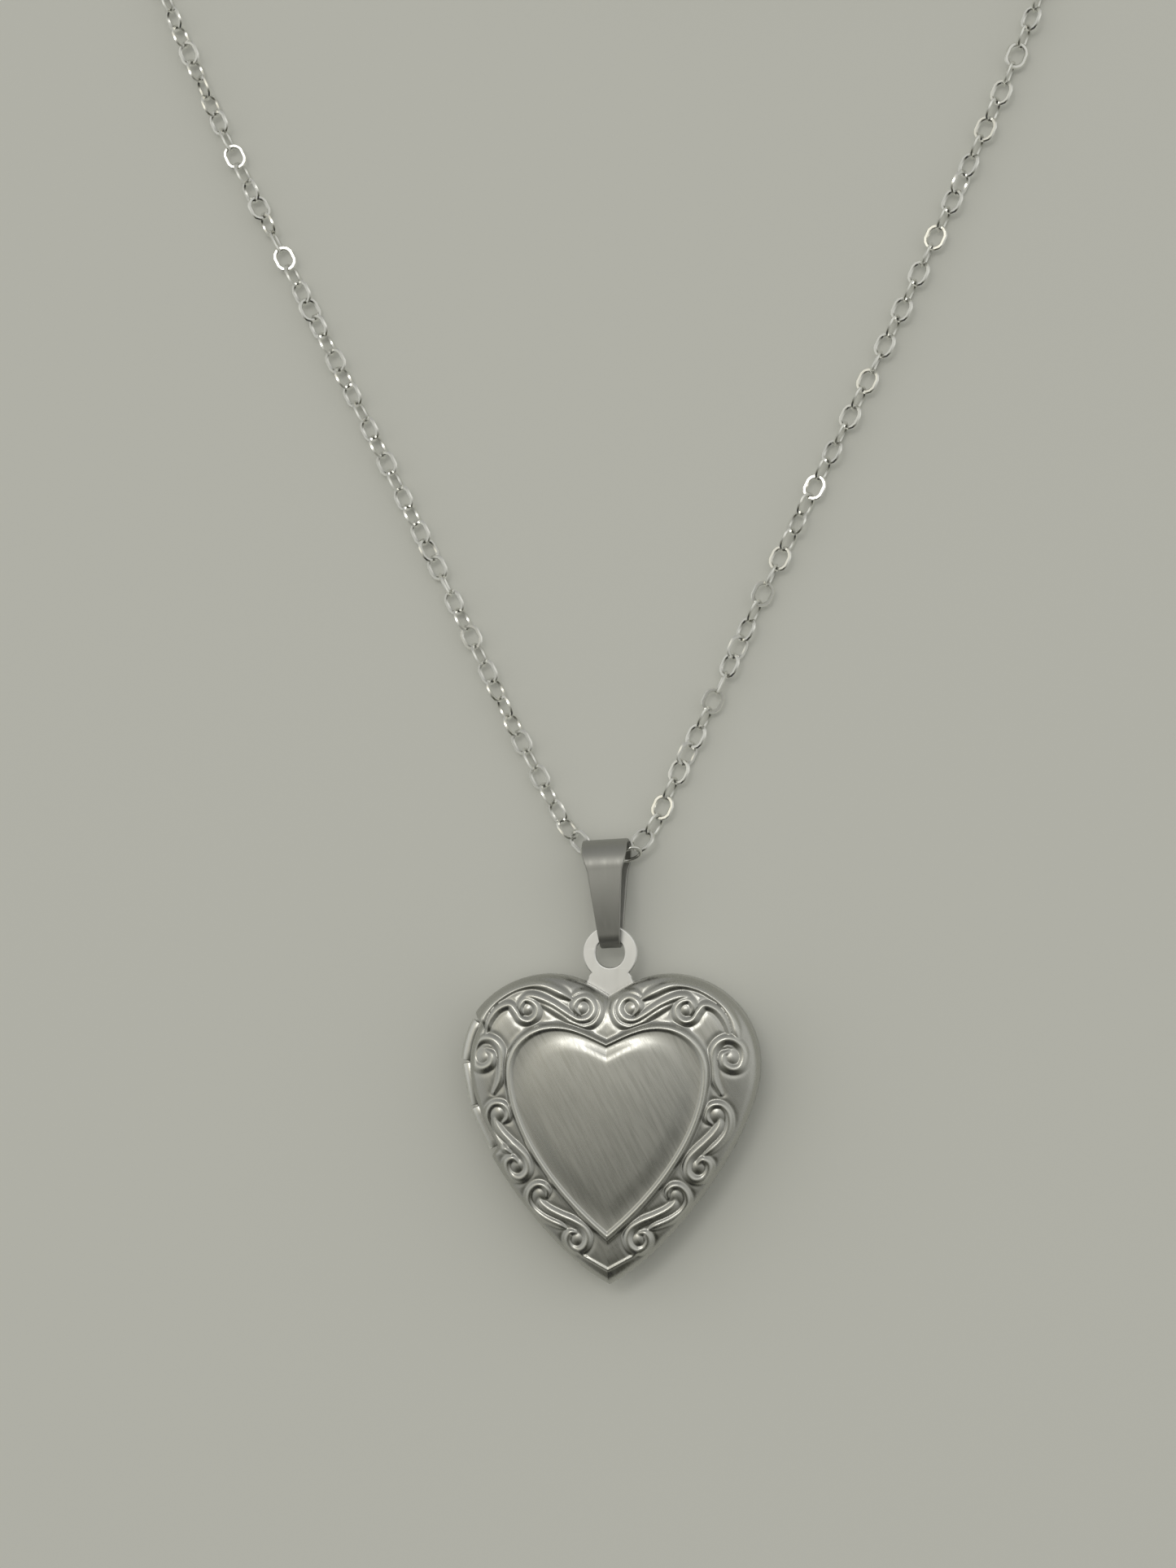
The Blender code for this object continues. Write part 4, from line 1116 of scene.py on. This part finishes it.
def edge_inside(y, inset):
    """A point a distance inside the left edge of the heart at a given Y, on the parting plane."""
    fine = heart_points(HEART_EDGE, (40, 200, 300))
    left = np.nonzero(fine[:, 0] < -6.0)[0]
    index = left[np.abs(fine[left, 1] - y).argmin()]
    along = fine[index + 1] - fine[index - 1]
    along = along / np.hypot(*along)
    place = fine[index] + np.array((along[1], -along[0])) * inset
    return Vector((place[0], place[1], PARTING_Z))


middle_top = edge_inside(-0.12, KNUCKLE)
middle_foot = edge_inside(-4.4, KNUCKLE)
pin_way = (middle_foot - middle_top).normalized()
KNUCKLE_GAP = 0.15
upper_route = [middle_top - pin_way * KNUCKLE_GAP]
upper_route += [edge_inside(y, KNUCKLE) for y in (1.0, 1.8, 2.6, 3.3, 4.0)]
middle_route = [middle_top, (middle_top + middle_foot) / 2, middle_foot]
lower_route = [middle_foot + pin_way * KNUCKLE_GAP]
lower_route += [edge_inside(y, KNUCKLE) for y in (-5.4, -6.2, -7.0, -7.8, -8.4)]
for node, route, body in (("front_knuckle", middle_route, "front_half"),
                          ("rear_knuckle_upper", upper_route, "rear_half"),
                          ("rear_knuckle_lower", lower_route, "rear_half")):
    barrel = barrel_mesh(route, KNUCKLE, HINGE_STEEL)
    knuckle = link_up(node + "_rolled", barrel, body)
    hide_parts(node)
recoated(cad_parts["hinge_pin"].data, HINGE_STEEL)


# Bail: one strip of satin steel folded into a long loop, its foot through the tab's eye. It is
# wide where the chain runs and tapers to the foot.
# The bail's colour is painted dark, for the shade it looks to be in beyond what the lighting gives.
BAIL_STEEL = steel("bail_steel", (0.43, 0.43, 0.41), (0.21, 0.21, 0.20), 0.40, 0.50,
                   -4.0, 3.5, 20.0, 0.3, 1.4, 0.9)
BAIL_LENGTH = 6.29
HEAD_RADIUS = 2.34
FOOT_RADIUS = 1.36
STRIP = 0.32
FACE_BOW = 0.14
EDGE_ROUND = 0.1
FOOT_WIDTH = 1.9
TAPER = 1.4
KNEE_WIDTH = 3.3
KNEE = BAIL_LENGTH - 0.6


def strip_width(reach):
    """The strip's width: a slow taper up to the knee, then a quick flare over the head."""
    if reach < KNEE:
        return FOOT_WIDTH + TAPER * (reach + FOOT_RADIUS) / (KNEE + FOOT_RADIUS)
    flare = min(1.0, 1.25 * (reach - KNEE) / (HEAD_RADIUS + 0.6))
    return KNEE_WIDTH + math.sin(flare * math.pi / 2)


bail_lean = math.asin((HEAD_RADIUS - FOOT_RADIUS) / BAIL_LENGTH)
bail_stations = []
for i in range(37):
    bail_stations.append((BAIL_LENGTH, HEAD_RADIUS, (math.pi + 2 * bail_lean) * (i / 36 - 0.5)))
for i in range(1, 20):
    along = i / 20
    bow = FACE_BOW * math.sin(math.pi * along)
    bail_stations.append((BAIL_LENGTH * (1 - along),
                          HEAD_RADIUS + (FOOT_RADIUS - HEAD_RADIUS) * along + bow,
                          math.pi / 2 + bail_lean))
for i in range(25):
    bail_stations.append((0.0, FOOT_RADIUS, math.pi + (math.pi - 2 * bail_lean) * (i / 24 - 0.5)))
for i in range(1, 8):
    bail_stations.append((BAIL_LENGTH * i / 8, FOOT_RADIUS + (HEAD_RADIUS - FOOT_RADIUS) * i / 8,
                          -math.pi / 2 - bail_lean))
bail_placed = Matrix.Translation((0.0, 12.07, TAB_Z)) @ Matrix.Rotation(math.radians(3.0), 4, "Z")
bail_placed = bail_placed @ Matrix.Rotation(-math.asin(0.47 / BAIL_LENGTH), 4, "X")
bail_rows = []
for centre, radius, turn in bail_stations:
    half = strip_width(centre + radius * math.cos(turn)) / 2
    row = []
    for across, out in ((-1, -1), (1, -1), (1, 1), (-1, 1)):
        start = {(-1, -1): 180, (1, -1): 270, (1, 1): 0, (-1, 1): 90}[(across, out)]
        for bend in (-12, 0, 30, 60, 90, 102):
            corner = math.radians(start + min(max(bend, 0), 90))
            side = across * (half - EDGE_ROUND) + EDGE_ROUND * math.cos(corner)
            skin = out * (STRIP / 2 - EDGE_ROUND) + EDGE_ROUND * math.sin(corner)
            if bend == -12:
                side += 0.05 * math.sin(corner)
                skin -= 0.04 * math.cos(corner)
            if bend == 102:
                side -= 0.05 * math.sin(corner)
                skin += 0.04 * math.cos(corner)
            size = radius + skin
            place = Vector((side, centre + size * math.cos(turn), size * math.sin(turn)))
            row.append(tuple(bail_placed @ place))
    bail_rows.append(np.array(row))
bail = link_up("folded_bail", skin_rows("bail", bail_rows, BAIL_STEEL, False, True), "bail",
               50.0)
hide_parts("bail")
